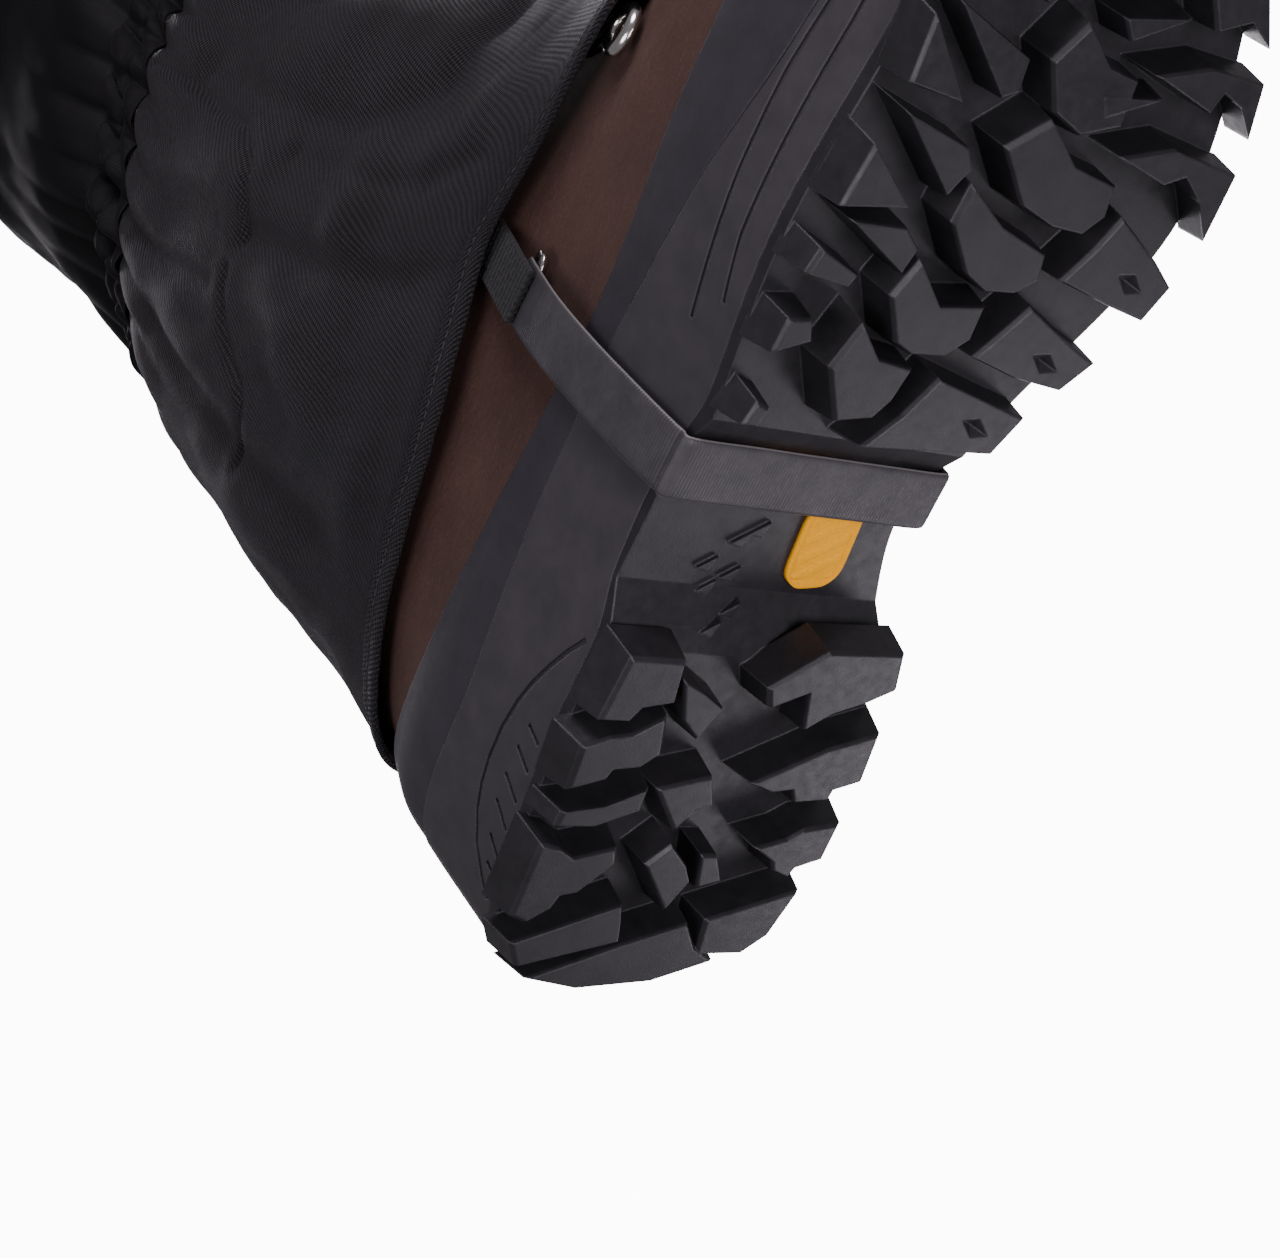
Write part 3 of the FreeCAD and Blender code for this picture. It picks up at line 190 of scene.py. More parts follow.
def height_on(form, angle, line, inset=0.0):
    """Height where a form meets a side profile, for each angle."""
    z = line(np.full(angle.shape, 100.0))
    for _ in range(25):
        z = 0.5 * z + 0.5 * line(skin(form, angle, z, inset)[1])
    return z


def hem_height(s):
    return along(HEM_LINE, s)


# ------------------------------------------------------------------ mesh building

def unit(vectors):
    return vectors / np.maximum(np.linalg.norm(vectors, axis=-1, keepdims=True), 1e-9)


def outward(points, closed):
    """Unit normals of a grid whose rows go up and whose columns go round over the medial side."""
    up = np.gradient(points, axis=0)
    if closed:
        across = (np.roll(points, -1, axis=1) - np.roll(points, 1, axis=1)) / 2
    else:
        across = np.gradient(points, axis=1)
    return unit(np.cross(up, across))


def new_piece(name, vertices, faces, body="boot", uvs=None):
    """Mesh object from millimetre points and quads, riding on a body."""
    mesh = bpy.data.meshes.new(name)
    mesh.from_pydata((np.asarray(vertices, float).reshape(-1, 3) * MM).tolist(), [],
                     [list(map(int, face)) for face in faces])
    mesh.update()
    if uvs is not None:
        layer = mesh.uv_layers.new(name="cloth")
        loops = np.empty(len(mesh.loops), dtype=np.int32)
        mesh.loops.foreach_get("vertex_index", loops)
        layer.data.foreach_set("uv", np.asarray(uvs, np.float32).reshape(-1, 2).ravel())
    mesh.polygons.foreach_set("use_smooth", [True] * len(mesh.polygons))
    piece = bpy.data.objects.new(name, mesh)
    bpy.context.scene.collection.objects.link(piece)
    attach(piece, body)
    return piece


def quads(rows, cols, closed, start=0, inside=False):
    """Vertex numbers of a grid's faces, and the grid places of their corners."""
    i, j = np.meshgrid(np.arange(rows - 1), np.arange(cols if closed else cols - 1),
                       indexing="ij")
    corners = [(i, j), (i + 1, j), (i + 1, j + 1), (i, j + 1)]
    if inside:
        corners = corners[::-1]
    places = np.stack([np.stack([a.ravel(), b.ravel()], -1) for a, b in corners], 1)
    numbers = start + places[..., 0] * cols + places[..., 1] % cols
    return numbers, places


def grid_uvs(places, across, up):
    """Millimetre UVs for the corners of a grid's faces."""
    return np.stack([across[places[..., 1]], up[places[..., 0]]], -1).reshape(-1, 2)


def run_along(points):
    """Length from the first point to each point of a path."""
    return np.concatenate([[0], np.cumsum(np.linalg.norm(np.diff(points, axis=0), axis=1))])


def rim_quads(first, second, count, turn):
    """Faces that join the outer grid's edge to the inner grid's, which starts at count."""
    rim = np.stack([first, second, second + count, first + count], 1)
    return rim[:, ::-1] if turn else rim


def slab(name, outer, inner, closed=False, body="boot"):
    """Closed piece between an outer and an inner grid of the same size."""
    rows, cols = outer.shape[:2]
    across = run_along(outer[rows // 2])
    across = np.append(across, across[-1] + across[-1] / (cols - 1)) - across[-1] / 2
    up = run_along(outer[:, cols // 2])
    count = rows * cols
    faces, uvs = [], []
    for start, inside in ((0, False), (count, True)):
        side, places = quads(rows, cols, closed, start, inside)
        faces.append(side)
        uvs.append(grid_uvs(places, across, up))
    columns = np.arange(cols if closed else cols - 1)
    for row, turn in ((0, False), (rows - 1, True)):
        first, second = row * cols + columns, row * cols + (columns + 1) % cols
        faces.append(rim_quads(first, second, count, turn))
        ends = across[np.stack([columns, columns + 1, columns + 1, columns], 1)]
        uvs.append(np.stack([ends, np.full(ends.shape, up[row])], -1).reshape(-1, 2))
    for col, turn in () if closed else ((0, True), (cols - 1, False)):
        first = np.arange(rows - 1) * cols + col
        faces.append(rim_quads(first, first + cols, count, turn))
        ends = np.stack([up[:-1], up[1:], up[1:], up[:-1]], 1)
        uvs.append(np.stack([np.full(ends.shape, across[col]), ends], -1).reshape(-1, 2))
    vertices = np.concatenate([outer.reshape(-1, 3), inner.reshape(-1, 3)])
    return new_piece(name, vertices, np.concatenate(faces), body, np.concatenate(uvs))


def cloth_tube(name, points, thickness):
    """Closed tube of cloth whose outer side is the grid."""
    return slab(name, points, points - outward(points, True) * thickness, True)


def ring_sweep(name, base, up, out, profile, closed=True):
    """Sweep of a closed profile of (up, out) points round a path."""
    section = np.array(profile, float)
    points = (base[:, None] + up[:, None] * section[None, :, :1]
              + out[:, None] * section[None, :, 1:])
    count, size = points.shape[:2]
    length = run_along(np.concatenate([base, base[:1]]))
    around = run_along(np.concatenate([section, section[:1]]))
    faces, uvs = [], []
    for i in range(count if closed else count - 1):
        for j in range(size):
            corners = [(i, j), (i + 1, j), (i + 1, j + 1), (i, j + 1)]
            faces.append([(a % count) * size + b % size for a, b in corners])
            uvs += [(length[a], around[b]) for a, b in corners]
    if not closed:
        for row, order in ((0, 1), (count - 1, -1)):
            faces.append([row * size + j for j in range(size)][::order])
            uvs += [(length[row], around[j]) for j in range(size)][::order]
    return new_piece(name, points, faces, uvs=uvs)


def spokes(axis, steps, hint):
    """Directions square to an axis, all the way round it."""
    side = unit(np.cross(axis, hint))
    turn = np.linspace(0, 2 * math.pi, steps, endpoint=False)[:, None]
    return np.cos(turn) * side + np.sin(turn) * np.cross(axis, side)


def lathe(name, centre, axis, profile, steps=64):
    """Turned piece: profile of (radius, height along the axis), closed at both ends."""
    axis = np.array(axis, float) / np.linalg.norm(axis)
    radial = spokes(axis, steps, (0.3, 0.1, 0.9))
    section = np.array(profile, float)
    points = (np.array(centre)[None, None] + radial[:, None] * section[None, :, :1]
              + axis[None, None] * section[None, :, 1:])
    size = len(profile)
    faces = [[i * size + j, i * size + j + 1, (i + 1) % steps * size + j + 1,
              (i + 1) % steps * size + j] for i in range(steps) for j in range(size - 1)]
    faces.append([i * size for i in range(steps)])
    faces.append([i * size + size - 1 for i in range(steps)][::-1])
    return new_piece(name, points, faces)


# one stitch's rings along its length, as (reach, size), and the sides of each ring
STITCH_RINGS = [(-1.0, 0.15), (-0.82, 0.75), (-0.3, 1.0), (0.3, 1.0), (0.82, 0.75), (1.0, 0.15)]
STITCH_SIDES = 6


def read_along(places, run, values):
    """Values of a path's rows at the given lengths along it."""
    return np.stack([np.interp(places, run, column) for column in values.T], -1)


def stitches(name, path, normals, body="boot", pitch=3.1, length=2.3, radius=0.3, lift=0.12):
    """Row of thread stitches along a path, lying on the surface."""
    run = run_along(path)
    places = np.arange(pitch / 2, run[-1], pitch)
    out = unit(read_along(places, run, normals))
    ahead = unit(read_along(places + 0.5, run, path) - read_along(places - 0.5, run, path))
    across = np.cross(out, ahead)
    centre = read_along(places, run, path) + out * lift
    vertices = np.stack([centre + ahead * reach * length / 2
                         + across * math.cos(angle) * size * radius
                         + out * math.sin(angle) * size * radius
                         for reach, size in STITCH_RINGS
                         for angle in np.linspace(0, 2 * math.pi, STITCH_SIDES, endpoint=False)], 1)
    one = quads(len(STITCH_RINGS), STITCH_SIDES, True)[0][:, [0, 3, 2, 1]]
    faces = np.concatenate([one + k * vertices.shape[1] for k in range(len(centre))])
    piece = new_piece(name, vertices, faces, body)
    piece.data.materials.append(THREAD)
    return piece


def smooth_path(points, step):
    """Catmull-Rom curve through the points, at even steps."""
    p = np.array(points, float)
    ends = np.concatenate([[2 * p[0] - p[1]], p, [2 * p[-1] - p[-2]]])
    t = np.linspace(0, 1, 24, endpoint=False)[:, None]
    parts = []
    for a, b, c, d in zip(ends, ends[1:], ends[2:], ends[3:]):
        parts.append(0.5 * (2 * b + (c - a) * t + (2 * a - 5 * b + 4 * c - d) * t**2
                            + (3 * b - a - 3 * c + d) * t**3))
    dense = np.concatenate(parts + [p[-1:]])
    run = run_along(dense)
    return read_along(np.linspace(0, run[-1], max(3, round(run[-1] / step) + 1)), run, dense)


def rough(points, scale, seed, stretch=(1, 1, 1)):
    """Smooth noise between about -1 and 1 at millimetre points."""
    flat = points.reshape(-1, 3) / (np.array(stretch, float) * scale) + seed * 17.3
    values = [noise.noise(Vector(p)) for p in flat]
    return np.array(values).reshape(points.shape[:-1])


# ------------------------------------------------------------------ materials

class Shader:
    """Adds and joins the nodes of one material."""

    def __init__(self, name, **finish):
        self.material = bpy.data.materials.new(name)
        self.material.use_nodes = True
        self.tree = self.material.node_tree
        self.surface = self.tree.nodes["Principled BSDF"]
        for socket, value in finish.items():
            self.surface.inputs[socket.replace("_", " ")].default_value = value

    def add(self, kind, result=0, settings=(), **inputs):
        node = self.tree.nodes.new("ShaderNode" + kind)
        for key, value in dict(settings).items():
            setattr(node, key, value)
        for key, value in inputs.items():
            socket = node.inputs[int(key[1:]) if key[1:].isdigit() else key.replace("_", " ")]
            if isinstance(value, bpy.types.NodeSocket):
                self.tree.links.new(value, socket)
            else:
                socket.default_value = value
        return node.outputs[result]

    def math(self, operation, first, second=0.0):
        return self.add("Math", settings={"operation": operation}, i0=first, i1=second)

    def total(self, first, share, second, other_share=1.0):
        """Sum of two values, each times its share."""
        return self.math("ADD", self.math("MULTIPLY", first, share),
                         self.math("MULTIPLY", second, other_share))

    def place(self):
        """Object coordinates in millimetres."""
        spot = self.add("TexCoord", "Object")
        return self.add("VectorMath", settings={"operation": "MULTIPLY"}, i0=spot,
                        i1=(1 / MM, 1 / MM, 1 / MM))

    def cloth(self):
        """Millimetres across and along the cloth."""
        uv = self.add("UVMap", settings={"uv_map": "cloth"})
        split = self.tree.nodes.new("ShaderNodeSeparateXYZ")
        self.tree.links.new(uv, split.inputs[0])
        return split.outputs[0], split.outputs[1]

    def noise(self, size_mm, detail=3.0, roughness=0.55):
        return self.add("TexNoise", "Fac", Vector=self.place(), Scale=1 / size_mm,
                        Detail=detail, Roughness=roughness)

    def ramp(self, value, stops):
        node = self.tree.nodes.new("ShaderNodeValToRGB")
        elements = node.color_ramp.elements
        while len(elements) < len(stops):
            elements.new(0.5)
        for element, (place, colour) in zip(elements, stops):
            element.position = place
            element.color = (*colour, 1)
        self.tree.links.new(value, node.inputs[0])
        return node.outputs[0]

    def grey(self, value, stops):
        return self.ramp(value, [(place, (level,) * 3) for place, level in stops])

    def mix(self, factor, first, second, blend="MIX"):
        node = self.tree.nodes.new("ShaderNodeMix")
        node.data_type = "RGBA"
        node.blend_type = blend
        for index, value in ((0, factor), (6, first), (7, second)):
            if isinstance(value, bpy.types.NodeSocket):
                self.tree.links.new(value, node.inputs[index])
            else:
                node.inputs[index].default_value = value if index == 0 else (*value, 1)
        return node.outputs[2]

    def bump(self, height, distance_mm, strength=1.0, base=None):
        inputs = {"Height": height, "Distance": distance_mm * MM, "Strength": strength}
        if base is not None:
            inputs["Normal"] = base
        return self.add("Bump", **inputs)

    def finish(self, colour=None, roughness=None, normal=None):
        for socket, value in (("Base Color", colour), ("Roughness", roughness),
                              ("Normal", normal)):
            if value is not None:
                self.tree.links.new(value, self.surface.inputs[socket])
        return self.material

    def edges(self, radius_mm):
        """How far a rounded normal leaves the true one, as at edges, and that normal."""
        soft = self.add("Bevel", settings={"samples": 4}, Radius=radius_mm * MM)
        true = self.add("NewGeometry", "Normal")
        dot = self.add("VectorMath", "Value", settings={"operation": "DOT_PRODUCT"}, i0=soft,
                       i1=true)
        return self.math("SUBTRACT", 1.0, dot), soft


def moulded_rubber(name, dark, light, edge, grain_mm, roughness, edge_radius=0.7):
    """Moulded rubber or foam: mottled, finely grained, paler along its edges, partly from wear and
    partly as a painted highlight.
    """
    s = Shader(name, Specular_IOR_Level=0.42)
    mottle = s.noise(9.0, 5.0)
    base = s.ramp(mottle, [(0.3, dark), (0.72, light)])
    edge_mask, soft = s.edges(edge_radius)
    # paler edge colour: partly real edge wear, partly a painted highlight along the edges
    worn_and_highlit = s.math("MULTIPLY", s.grey(edge_mask, [(0.02, 0.0), (0.25, 1.0)]),
                  s.grey(s.noise(2.5, 4.0), [(0.3, 0.35), (0.7, 1.0)]))
    colour = s.mix(worn_and_highlit, base, edge)
    low, high = roughness
    gloss = s.grey(s.noise(3.0, 4.0), [(0.25, low), (0.75, high)])
    height = s.noise(grain_mm, 3.0)
    return s.finish(colour, gloss, s.bump(height, 0.05, 0.6, soft))


def nubuck():
    s = Shader("nubuck", Specular_IOR_Level=0.2, Sheen_Weight=0.12, Sheen_Roughness=0.6)
    s.surface.inputs["Sheen Tint"].default_value = (0.75, 0.55, 0.48, 1)
    broad = s.noise(22.0, 4.0)
    colour = s.ramp(broad, [(0.3, (0.037, 0.0168, 0.0118)), (0.55, (0.05, 0.0235, 0.0172)),
                            (0.8, (0.063, 0.031, 0.0235))])
    speckle = s.grey(s.noise(0.8, 6.0, 0.7), [(0.35, 0.72), (0.65, 1.12)])
    colour = s.mix(1.0, colour, speckle, "MULTIPLY")
    stretched = s.add("Mapping", Vector=s.place(), Scale=(0.5, 0.06, 0.9),
                      Rotation=(0.4, 0.1, 0.3))
    scratch = s.add("TexNoise", "Fac", Vector=stretched, Scale=1.6, Detail=2.0)
    line = s.grey(scratch, [(0.485, 0.0), (0.5, 0.4), (0.515, 0.0)])
    colour = s.mix(line, colour, (0.12, 0.068, 0.055))
    nap = s.noise(0.35, 4.0, 0.7)
    dents = s.noise(6.0, 3.0)
    height = s.total(nap, 0.3, dents)
    gloss = s.grey(broad, [(0.3, 0.78), (0.7, 0.92)])
    return s.finish(colour, gloss, s.bump(height, 0.25, 0.7))


def weave_height(s, u, v, pitch, slant):
    """Diagonal ribs with the cross yarns that cut them into beads."""
    warp = s.noise(14.0, 2.0)
    bend = s.math("MULTIPLY", s.math("SUBTRACT", warp, 0.5), 0.9)
    rib = s.math("ADD", s.total(v, slant, u), bend)
    rib = s.math("SINE", s.math("MULTIPLY", rib, 2 * math.pi / pitch))
    cross = s.math("SUBTRACT", v, s.math("MULTIPLY", u, slant * 0.5))
    cross = s.math("SINE", s.math("MULTIPLY", cross, 2 * math.pi / (pitch * 0.62)))
    return s.math("ADD", s.total(rib, 0.36, cross, 0.2), 0.5)


def ribbed_cloth(name, dark, light, pitch, slant, depth, roughness, sheen, shine=0.3):
    s = Shader(name, Specular_IOR_Level=shine, Sheen_Weight=sheen, Sheen_Roughness=0.45)
    s.surface.inputs["Sheen Tint"].default_value = (0.82, 0.8, 0.95, 1)
    u, v = s.cloth()
    height = weave_height(s, u, v, pitch, slant)
    # weave colour follows its height: painted shade in the pits between the yarns, painted
    # highlight on their crowns
    colour = s.ramp(height, [(0.32, dark), (0.82, light)])
    patchy = s.grey(s.noise(35.0, 4.0), [(0.3, 0.75), (0.7, 1.15)])
    colour = s.mix(1.0, colour, patchy, "MULTIPLY")
    fibre = s.noise(0.22, 2.0)
    low, high = roughness
    gloss = s.grey(fibre, [(0.3, low), (0.7, high)])
    return s.finish(colour, gloss, s.bump(s.total(fibre, 0.25, height), depth, 1.0))


def woven_band(name, dark, light, roughness=0.7):
    """Finish for bands whose weave is in the mesh, with fine fibres."""
    s = Shader(name, Specular_IOR_Level=0.35, Sheen_Weight=0.1, Sheen_Roughness=0.5)
    fibre = s.noise(0.25, 4.0)
    colour = s.ramp(fibre, [(0.3, dark), (0.7, light)])
    gloss = s.grey(s.noise(1.5), [(0.3, roughness - 0.08), (0.7, roughness + 0.1)])
    return s.finish(colour, gloss, s.bump(fibre, 0.08, 0.6))


def strap_plastic():
    s = Shader("strap_tpu", Specular_IOR_Level=0.5)
    u, v = s.cloth()
    lines = s.math("SINE", s.math("MULTIPLY", v, 2 * math.pi / 0.9))
    cloudy = s.noise(7.0, 5.0)
    base = s.ramp(cloudy, [(0.3, (0.03, 0.0275, 0.031)), (0.75, (0.052, 0.048, 0.054))])
    side = s.math("ABSOLUTE", u)
    # pale strip along both edges of the strap: a painted highlight
    painted_edge_highlight = s.grey(s.math("DIVIDE", side, STRAP_WIDTH / 2), [(0.975, 0.0), (0.99, 0.7)])
    colour = s.mix(painted_edge_highlight, base, (0.2, 0.19, 0.185))
    height = s.total(lines, 0.5, cloudy, 1.5)
    gloss = s.grey(s.noise(1.2, 4.0), [(0.3, 0.42), (0.7, 0.6)])
    return s.finish(colour, gloss, s.bump(height, 0.06, 0.7))


def metal(name, colour, roughness, scratch=0.3):
    s = Shader(name, Metallic=1.0)
    cloudy = s.noise(2.0, 6.0, 0.7)
    dull = tuple(0.78 * c for c in colour)
    base = s.ramp(cloudy, [(0.3, dull), (0.6, colour)])
    fine = s.noise(0.3, 4.0)
    gloss = s.grey(cloudy, [(0.3, roughness * 0.8), (0.75, roughness * 1.5)])
    soft = s.edges(0.3)[1]
    return s.finish(base, gloss, s.bump(fine, 0.02, scratch, soft))


def moulded_plastic(name, colour, roughness, edge, shine=0.5):
    s = Shader(name, Specular_IOR_Level=shine)
    speck = s.noise(0.5, 5.0)
    base = s.ramp(speck, [(0.3, tuple(0.8 * c for c in colour)), (0.7, colour)])
    edge_mask, soft = s.edges(0.45)
    base = s.mix(s.grey(edge_mask, [(0.03, 0.0), (0.3, 0.7)]), base, edge)
    gloss = s.grey(s.noise(1.6), [(0.3, roughness - 0.06), (0.7, roughness + 0.1)])
    return s.finish(base, gloss, s.bump(speck, 0.04, 0.5, soft))


def grained(name, dark, light, cell_mm, depth, roughness):
    """Leather grain, open mesh or foam from rounded cells."""
    s = Shader(name, Specular_IOR_Level=0.35, Sheen_Weight=0.15)
    cell = s.add("TexVoronoi", "Distance", Vector=s.place(), Scale=1 / cell_mm)
    colour = s.ramp(cell, [(0.15, dark), (0.7, light)])
    colour = s.mix(1.0, colour, s.grey(s.noise(12.0, 4.0), [(0.3, 0.75), (0.7, 1.1)]),
                   "MULTIPLY")
    gloss = s.grey(s.noise(3.0), [(0.3, roughness - 0.08), (0.7, roughness + 0.08)])
    return s.finish(colour, gloss, s.bump(cell, depth, 0.8))


def brushed_floor():
    """Pale floor that the view from under the sole looks through; stage only."""
    s = Shader("stage_floor", Roughness=0.9)
    tone = s.grey(s.noise(180.0, 3.0), [(0.3, 0.74), (0.7, 0.8)])
    s.finish(tone)
    under = s.add("NewGeometry", "Backfacing")
    clear = s.add("BsdfTransparent")
    joined = s.add("MixShader", i0=under, i1=s.surface.outputs[0], i2=clear)
    output = next(n for n in s.tree.nodes if n.type == "OUTPUT_MATERIAL")
    s.tree.links.new(joined, output.inputs[0])
    return s.material


# the last colour of each is its paler edge: partly wear, partly painted highlight
RUBBER = moulded_rubber("outsole_rubber", (0.0105, 0.01, 0.0115), (0.018, 0.017, 0.0195),
                        (0.06, 0.058, 0.065), 0.7, (0.3, 0.48))
MIDSOLE = moulded_rubber("midsole_polyurethane", (0.033, 0.03, 0.034), (0.045, 0.041, 0.046),
                         (0.066, 0.062, 0.068), 0.5, (0.42, 0.58))
RAND = moulded_rubber("rand_rubber", (0.021, 0.0195, 0.024), (0.029, 0.027, 0.033),
                      (0.045, 0.042, 0.05), 0.6, (0.46, 0.62))
NUBUCK = nubuck()
# dark and light colours of the cloths below: painted shade in the weave's pits, painted highlight
# on its crowns
LOWER_CLOTH = ribbed_cloth("lower_fabric", (0.0004, 0.0003, 0.0004), (0.021, 0.0168, 0.019),
                           1.45, 0.55, 0.75, (0.46, 0.7), 0.05)
UPPER_CLOTH = ribbed_cloth("upper_fabric", (0.0008, 0.0006, 0.0007), (0.0022, 0.0017, 0.002),
                           0.42, 1.0, 0.03, (0.48, 0.66), 0.015, 0.16)
ELASTIC = ribbed_cloth("elastic", (0.001, 0.0008, 0.001), (0.004, 0.0033, 0.004),
                       0.7, 0.0, 0.08, (0.5, 0.7), 0.03, 0.16)
WEBBING = woven_band("webbing", (0.003, 0.003, 0.0034), (0.012, 0.012, 0.0132))
THREAD = woven_band("thread", (0.012, 0.012, 0.014), (0.03, 0.03, 0.034), 0.6)
STRAP = strap_plastic()
NICKEL = metal("nickel", (0.72, 0.7, 0.66), 0.16)
STEEL = metal("hook_steel", (0.3, 0.3, 0.31), 0.3)
SNAP = moulded_plastic("snap_metal", (0.03, 0.03, 0.032), 0.3, (0.12, 0.12, 0.12))
NYLON = moulded_plastic("buckle_nylon", (0.016, 0.016, 0.018), 0.45, (0.05, 0.05, 0.055))
AMBER = moulded_plastic("inlay_amber", (0.95, 0.42, 0.0), 0.62, (1.0, 0.5, 0.0), 0.15)
LINING = grained("lining_mesh", (0.012, 0.012, 0.013), (0.045, 0.045, 0.05), 1.6, 0.4, 0.85)
COLLAR = grained("collar_leather", (0.014, 0.01, 0.009), (0.036, 0.026, 0.022), 1.1, 0.18, 0.6)
FELT = grained("footbed_foam", (0.03, 0.03, 0.033), (0.075, 0.075, 0.08), 0.6, 0.15, 0.9)
BOARD = grained("board", (0.17, 0.14, 0.11), (0.3, 0.26, 0.2), 0.8, 0.1, 0.8)
STIFFENER = grained("stiffener", (0.36, 0.33, 0.28), (0.52, 0.48, 0.42), 2.0, 0.05, 0.5)
SPRING_STEEL = metal("shank_steel", (0.5, 0.51, 0.53), 0.28)

CAD_FINISH = [
    (RUBBER, ["outsole"]),
    (MIDSOLE, ["midsole"]),
    (RAND, ["rand"]),
    (NUBUCK, ["quarter_lateral", "quarter_medial", "vamp"]),
    (SPRING_STEEL, ["shank_plate"]),
    (BOARD, ["insole_board"]),
    (STIFFENER, ["heel_counter", "toe_puff"]),
    (FELT, ["ankle_padding"]),
    (STEEL, ["lace_eyelets", "lace_hooks", "lace_hook", "lace_hook_pin", "strap_lever_pin",
             "cuff_lever_pin"]),
    (SNAP, ["flap_snaps"]),
    (NYLON, ["strap_buckle_frame", "strap_buckle_lever", "cuff_buckle_frame",
             "cuff_buckle_lever"]),
]
ROUNDED = {"strap_buckle_frame": 0.45, "strap_buckle_lever": 0.45, "cuff_buckle_frame": 0.4,
           "cuff_buckle_lever": 0.4, "lace_hook": 0.35, "flap_snaps": 0.4}


def soften(node, width_mm):
    """Rounds the sharp edges of a CAD node without touching its mesh."""
    weld = node.modifiers.new("weld", "WELD")
    weld.merge_threshold = 0.002 * MM
    bevel = node.modifiers.new("rounding", "BEVEL")
    bevel.width = width_mm * MM
    bevel.segments = 3
    bevel.limit_method = "ANGLE"
    bevel.angle_limit = math.radians(40)
    bevel.harden_normals = True


def dress_cad():
    for finish, names in CAD_FINISH:
        for name in names:
            mesh = NODES[name].data
            mesh.materials.clear()
            mesh.materials.append(finish)
    for name, width in ROUNDED.items():
        soften(NODES[name], width)


def dress(piece, finish, slot_name, *replaced):
    piece.data.materials.append(finish)
    if replaced:
        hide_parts(*replaced)
    return piece


# ------------------------------------------------------------------ gaiter cloth

# creases, as (s, z) points, depth and width; the medial side has them more softly
CREASES = [
    ([(101, 262), (106, 240), (107, 222), (110, 207), (108, 198), (104, 191), (97, 187),
      (88, 185)], 1.3, 1.5),
    ([(80, 186), (74, 183), (67, 177), (62, 169), (59, 163), (55, 160), (50, 160), (43, 162),
      (36, 161)], 1.1, 1.1),
    ([(126, 106), (111, 124), (99, 152), (91, 183)], 2.2, 5.0),
    ([(46, 215), (44, 180), (40, 150), (38, 128)], 2.2, 6.0),
    ([(148, 222), (160, 180), (172, 150)], 2.2, 5.0),
    ([(112, 238), (118, 205), (131, 168), (152, 149), (172, 154)], 2.5, 5.5),
    ([(150, 118), (134, 132), (122, 156), (116, 182)], 1.5, 3.6),
    ([(62, 236), (66, 212), (72, 192)], 1.5, 3.4),
]
# folds in the cloth round the ankle, puffs round the elastic and ribs round the cuff
GATHERS = 30
PUFFS = 34
CUFF_RIBS = 150
# soft swells: (s, z), reach along and across, tilt in degrees, height
SWELLS = [
    ((140, 196), (32, 16), -55, 8.0),
    ((178, 168), (44, 20), -62, 6.0),
    ((96, 208), (28, 9), -75, 5.4),
    ((74, 146), (26, 11), 60, 4.0),
    ((54, 184), (28, 9), 84, 4.8),
    ((116, 152), (26, 10), 25, 3.6),
    ((150, 130), (20, 10), -30, 3.2),
    ((26, 150), (26, 8), 88, 3.0),
    ((60, 112), (22, 9), 10, 2.2),
]


def distance_to_path(s, z, path):
    """Distance from every place to a chain of points."""
    best = np.full(s.shape, 1e9)
    for (s0, z0), (s1, z1) in zip(path, path[1:]):
        ds, dz = s1 - s0, z1 - z0
        t = np.clip(((s - s0) * ds + (z - z0) * dz) / (ds * ds + dz * dz), 0, 1)
        best = np.minimum(best, np.hypot(s - s0 - t * ds, z - z0 - t * dz))
    return best


def hand_folds(s, z):
    """How far the placed creases and swells move the cloth."""
    lift = np.zeros(s.shape)
    for path, depth, width in CREASES:
        near = distance_to_path(s, z, path)
        lift += -depth * np.exp(-(near / width)**2) + 0.3 * depth * np.exp(
            -((near - 3.2 * width) / (2.6 * width))**2)
    for (s0, z0), (long, short), tilt, height in SWELLS:
        a = math.radians(tilt)
        p = ((s - s0) * math.cos(a) + (z - z0) * math.sin(a)) / long
        q = (-(s - s0) * math.sin(a) + (z - z0) * math.cos(a)) / short
        lift += height * np.exp(-(p * p + q * q))
    return lift


def eased(share):
    """Share from 0 to 1 with a soft start and end."""
    share = np.clip(share, 0, 1)
    return share * share * (3 - 2 * share)


def hug(s):
    """How much nearer to the leather the hem is drawn round the heel."""
    return 1.6 * eased((98.0 - s) / 36.0)


def cloth_lift(points, angle, s, z):
    """How far the cloth stands off its smooth form, in millimetres."""
    above = z - elastic_middle(s)
    twist = rough(points, 26.0, 1, (1, 1, 2.5))
    phase = GATHERS * angle + 2.6 * twist
    near = np.exp(-(np.abs(above) / 30.0)**1.5)
    gathers = 2.4 * near * (np.abs(np.cos(phase / 2)) * 1.6 - 0.9)
    long_folds = 2.8 * rough(points, 24.0, 2, (1, 1, 5.0)) * np.exp(-(above / 120.0)**2)
    lean = points + above[..., None] * (0.5, 0.15, 0.0)
    slanting = 2.2 * rough(lean, 20.0, 3, (1, 1, 3.0))
    small = 0.55 * rough(points, 7.0, 4, (1, 1, 1.8))
    upper = np.clip(above / 10.0, 0, 1)
    blouse = 4.5 * np.exp(-((above - 30.0) / 22.0)**2) * upper
    lower_blouse = 2.2 * np.exp(-((above + 26.0) / 16.0)**2)
    cinch = -3.2 * np.exp(-(above / 12.0)**2)
    cuff = np.clip((z - 405.0) / 27.0, 0, 1)
    top_gathers = 1.1 * cuff * np.cos(40 * angle + 2.0 * twist) - 1.2 * cuff
    folds = hand_folds(s, z) * np.where(np.sin(angle) < 0, 1.0, 0.75)
    reach = eased((z - hem_height(s)) / 26.0)
    loose = (long_folds + slanting) * (0.35 + 0.65 * upper) + small
    held = np.clip((GAITER_TOP - 6.0 - z) / 40.0, 0.15, 1)
    return ((gathers + loose * held + blouse + lower_blouse + top_gathers) * reach
            + folds * reach * (1 - upper) + cinch - hug(s) * (1 - reach))


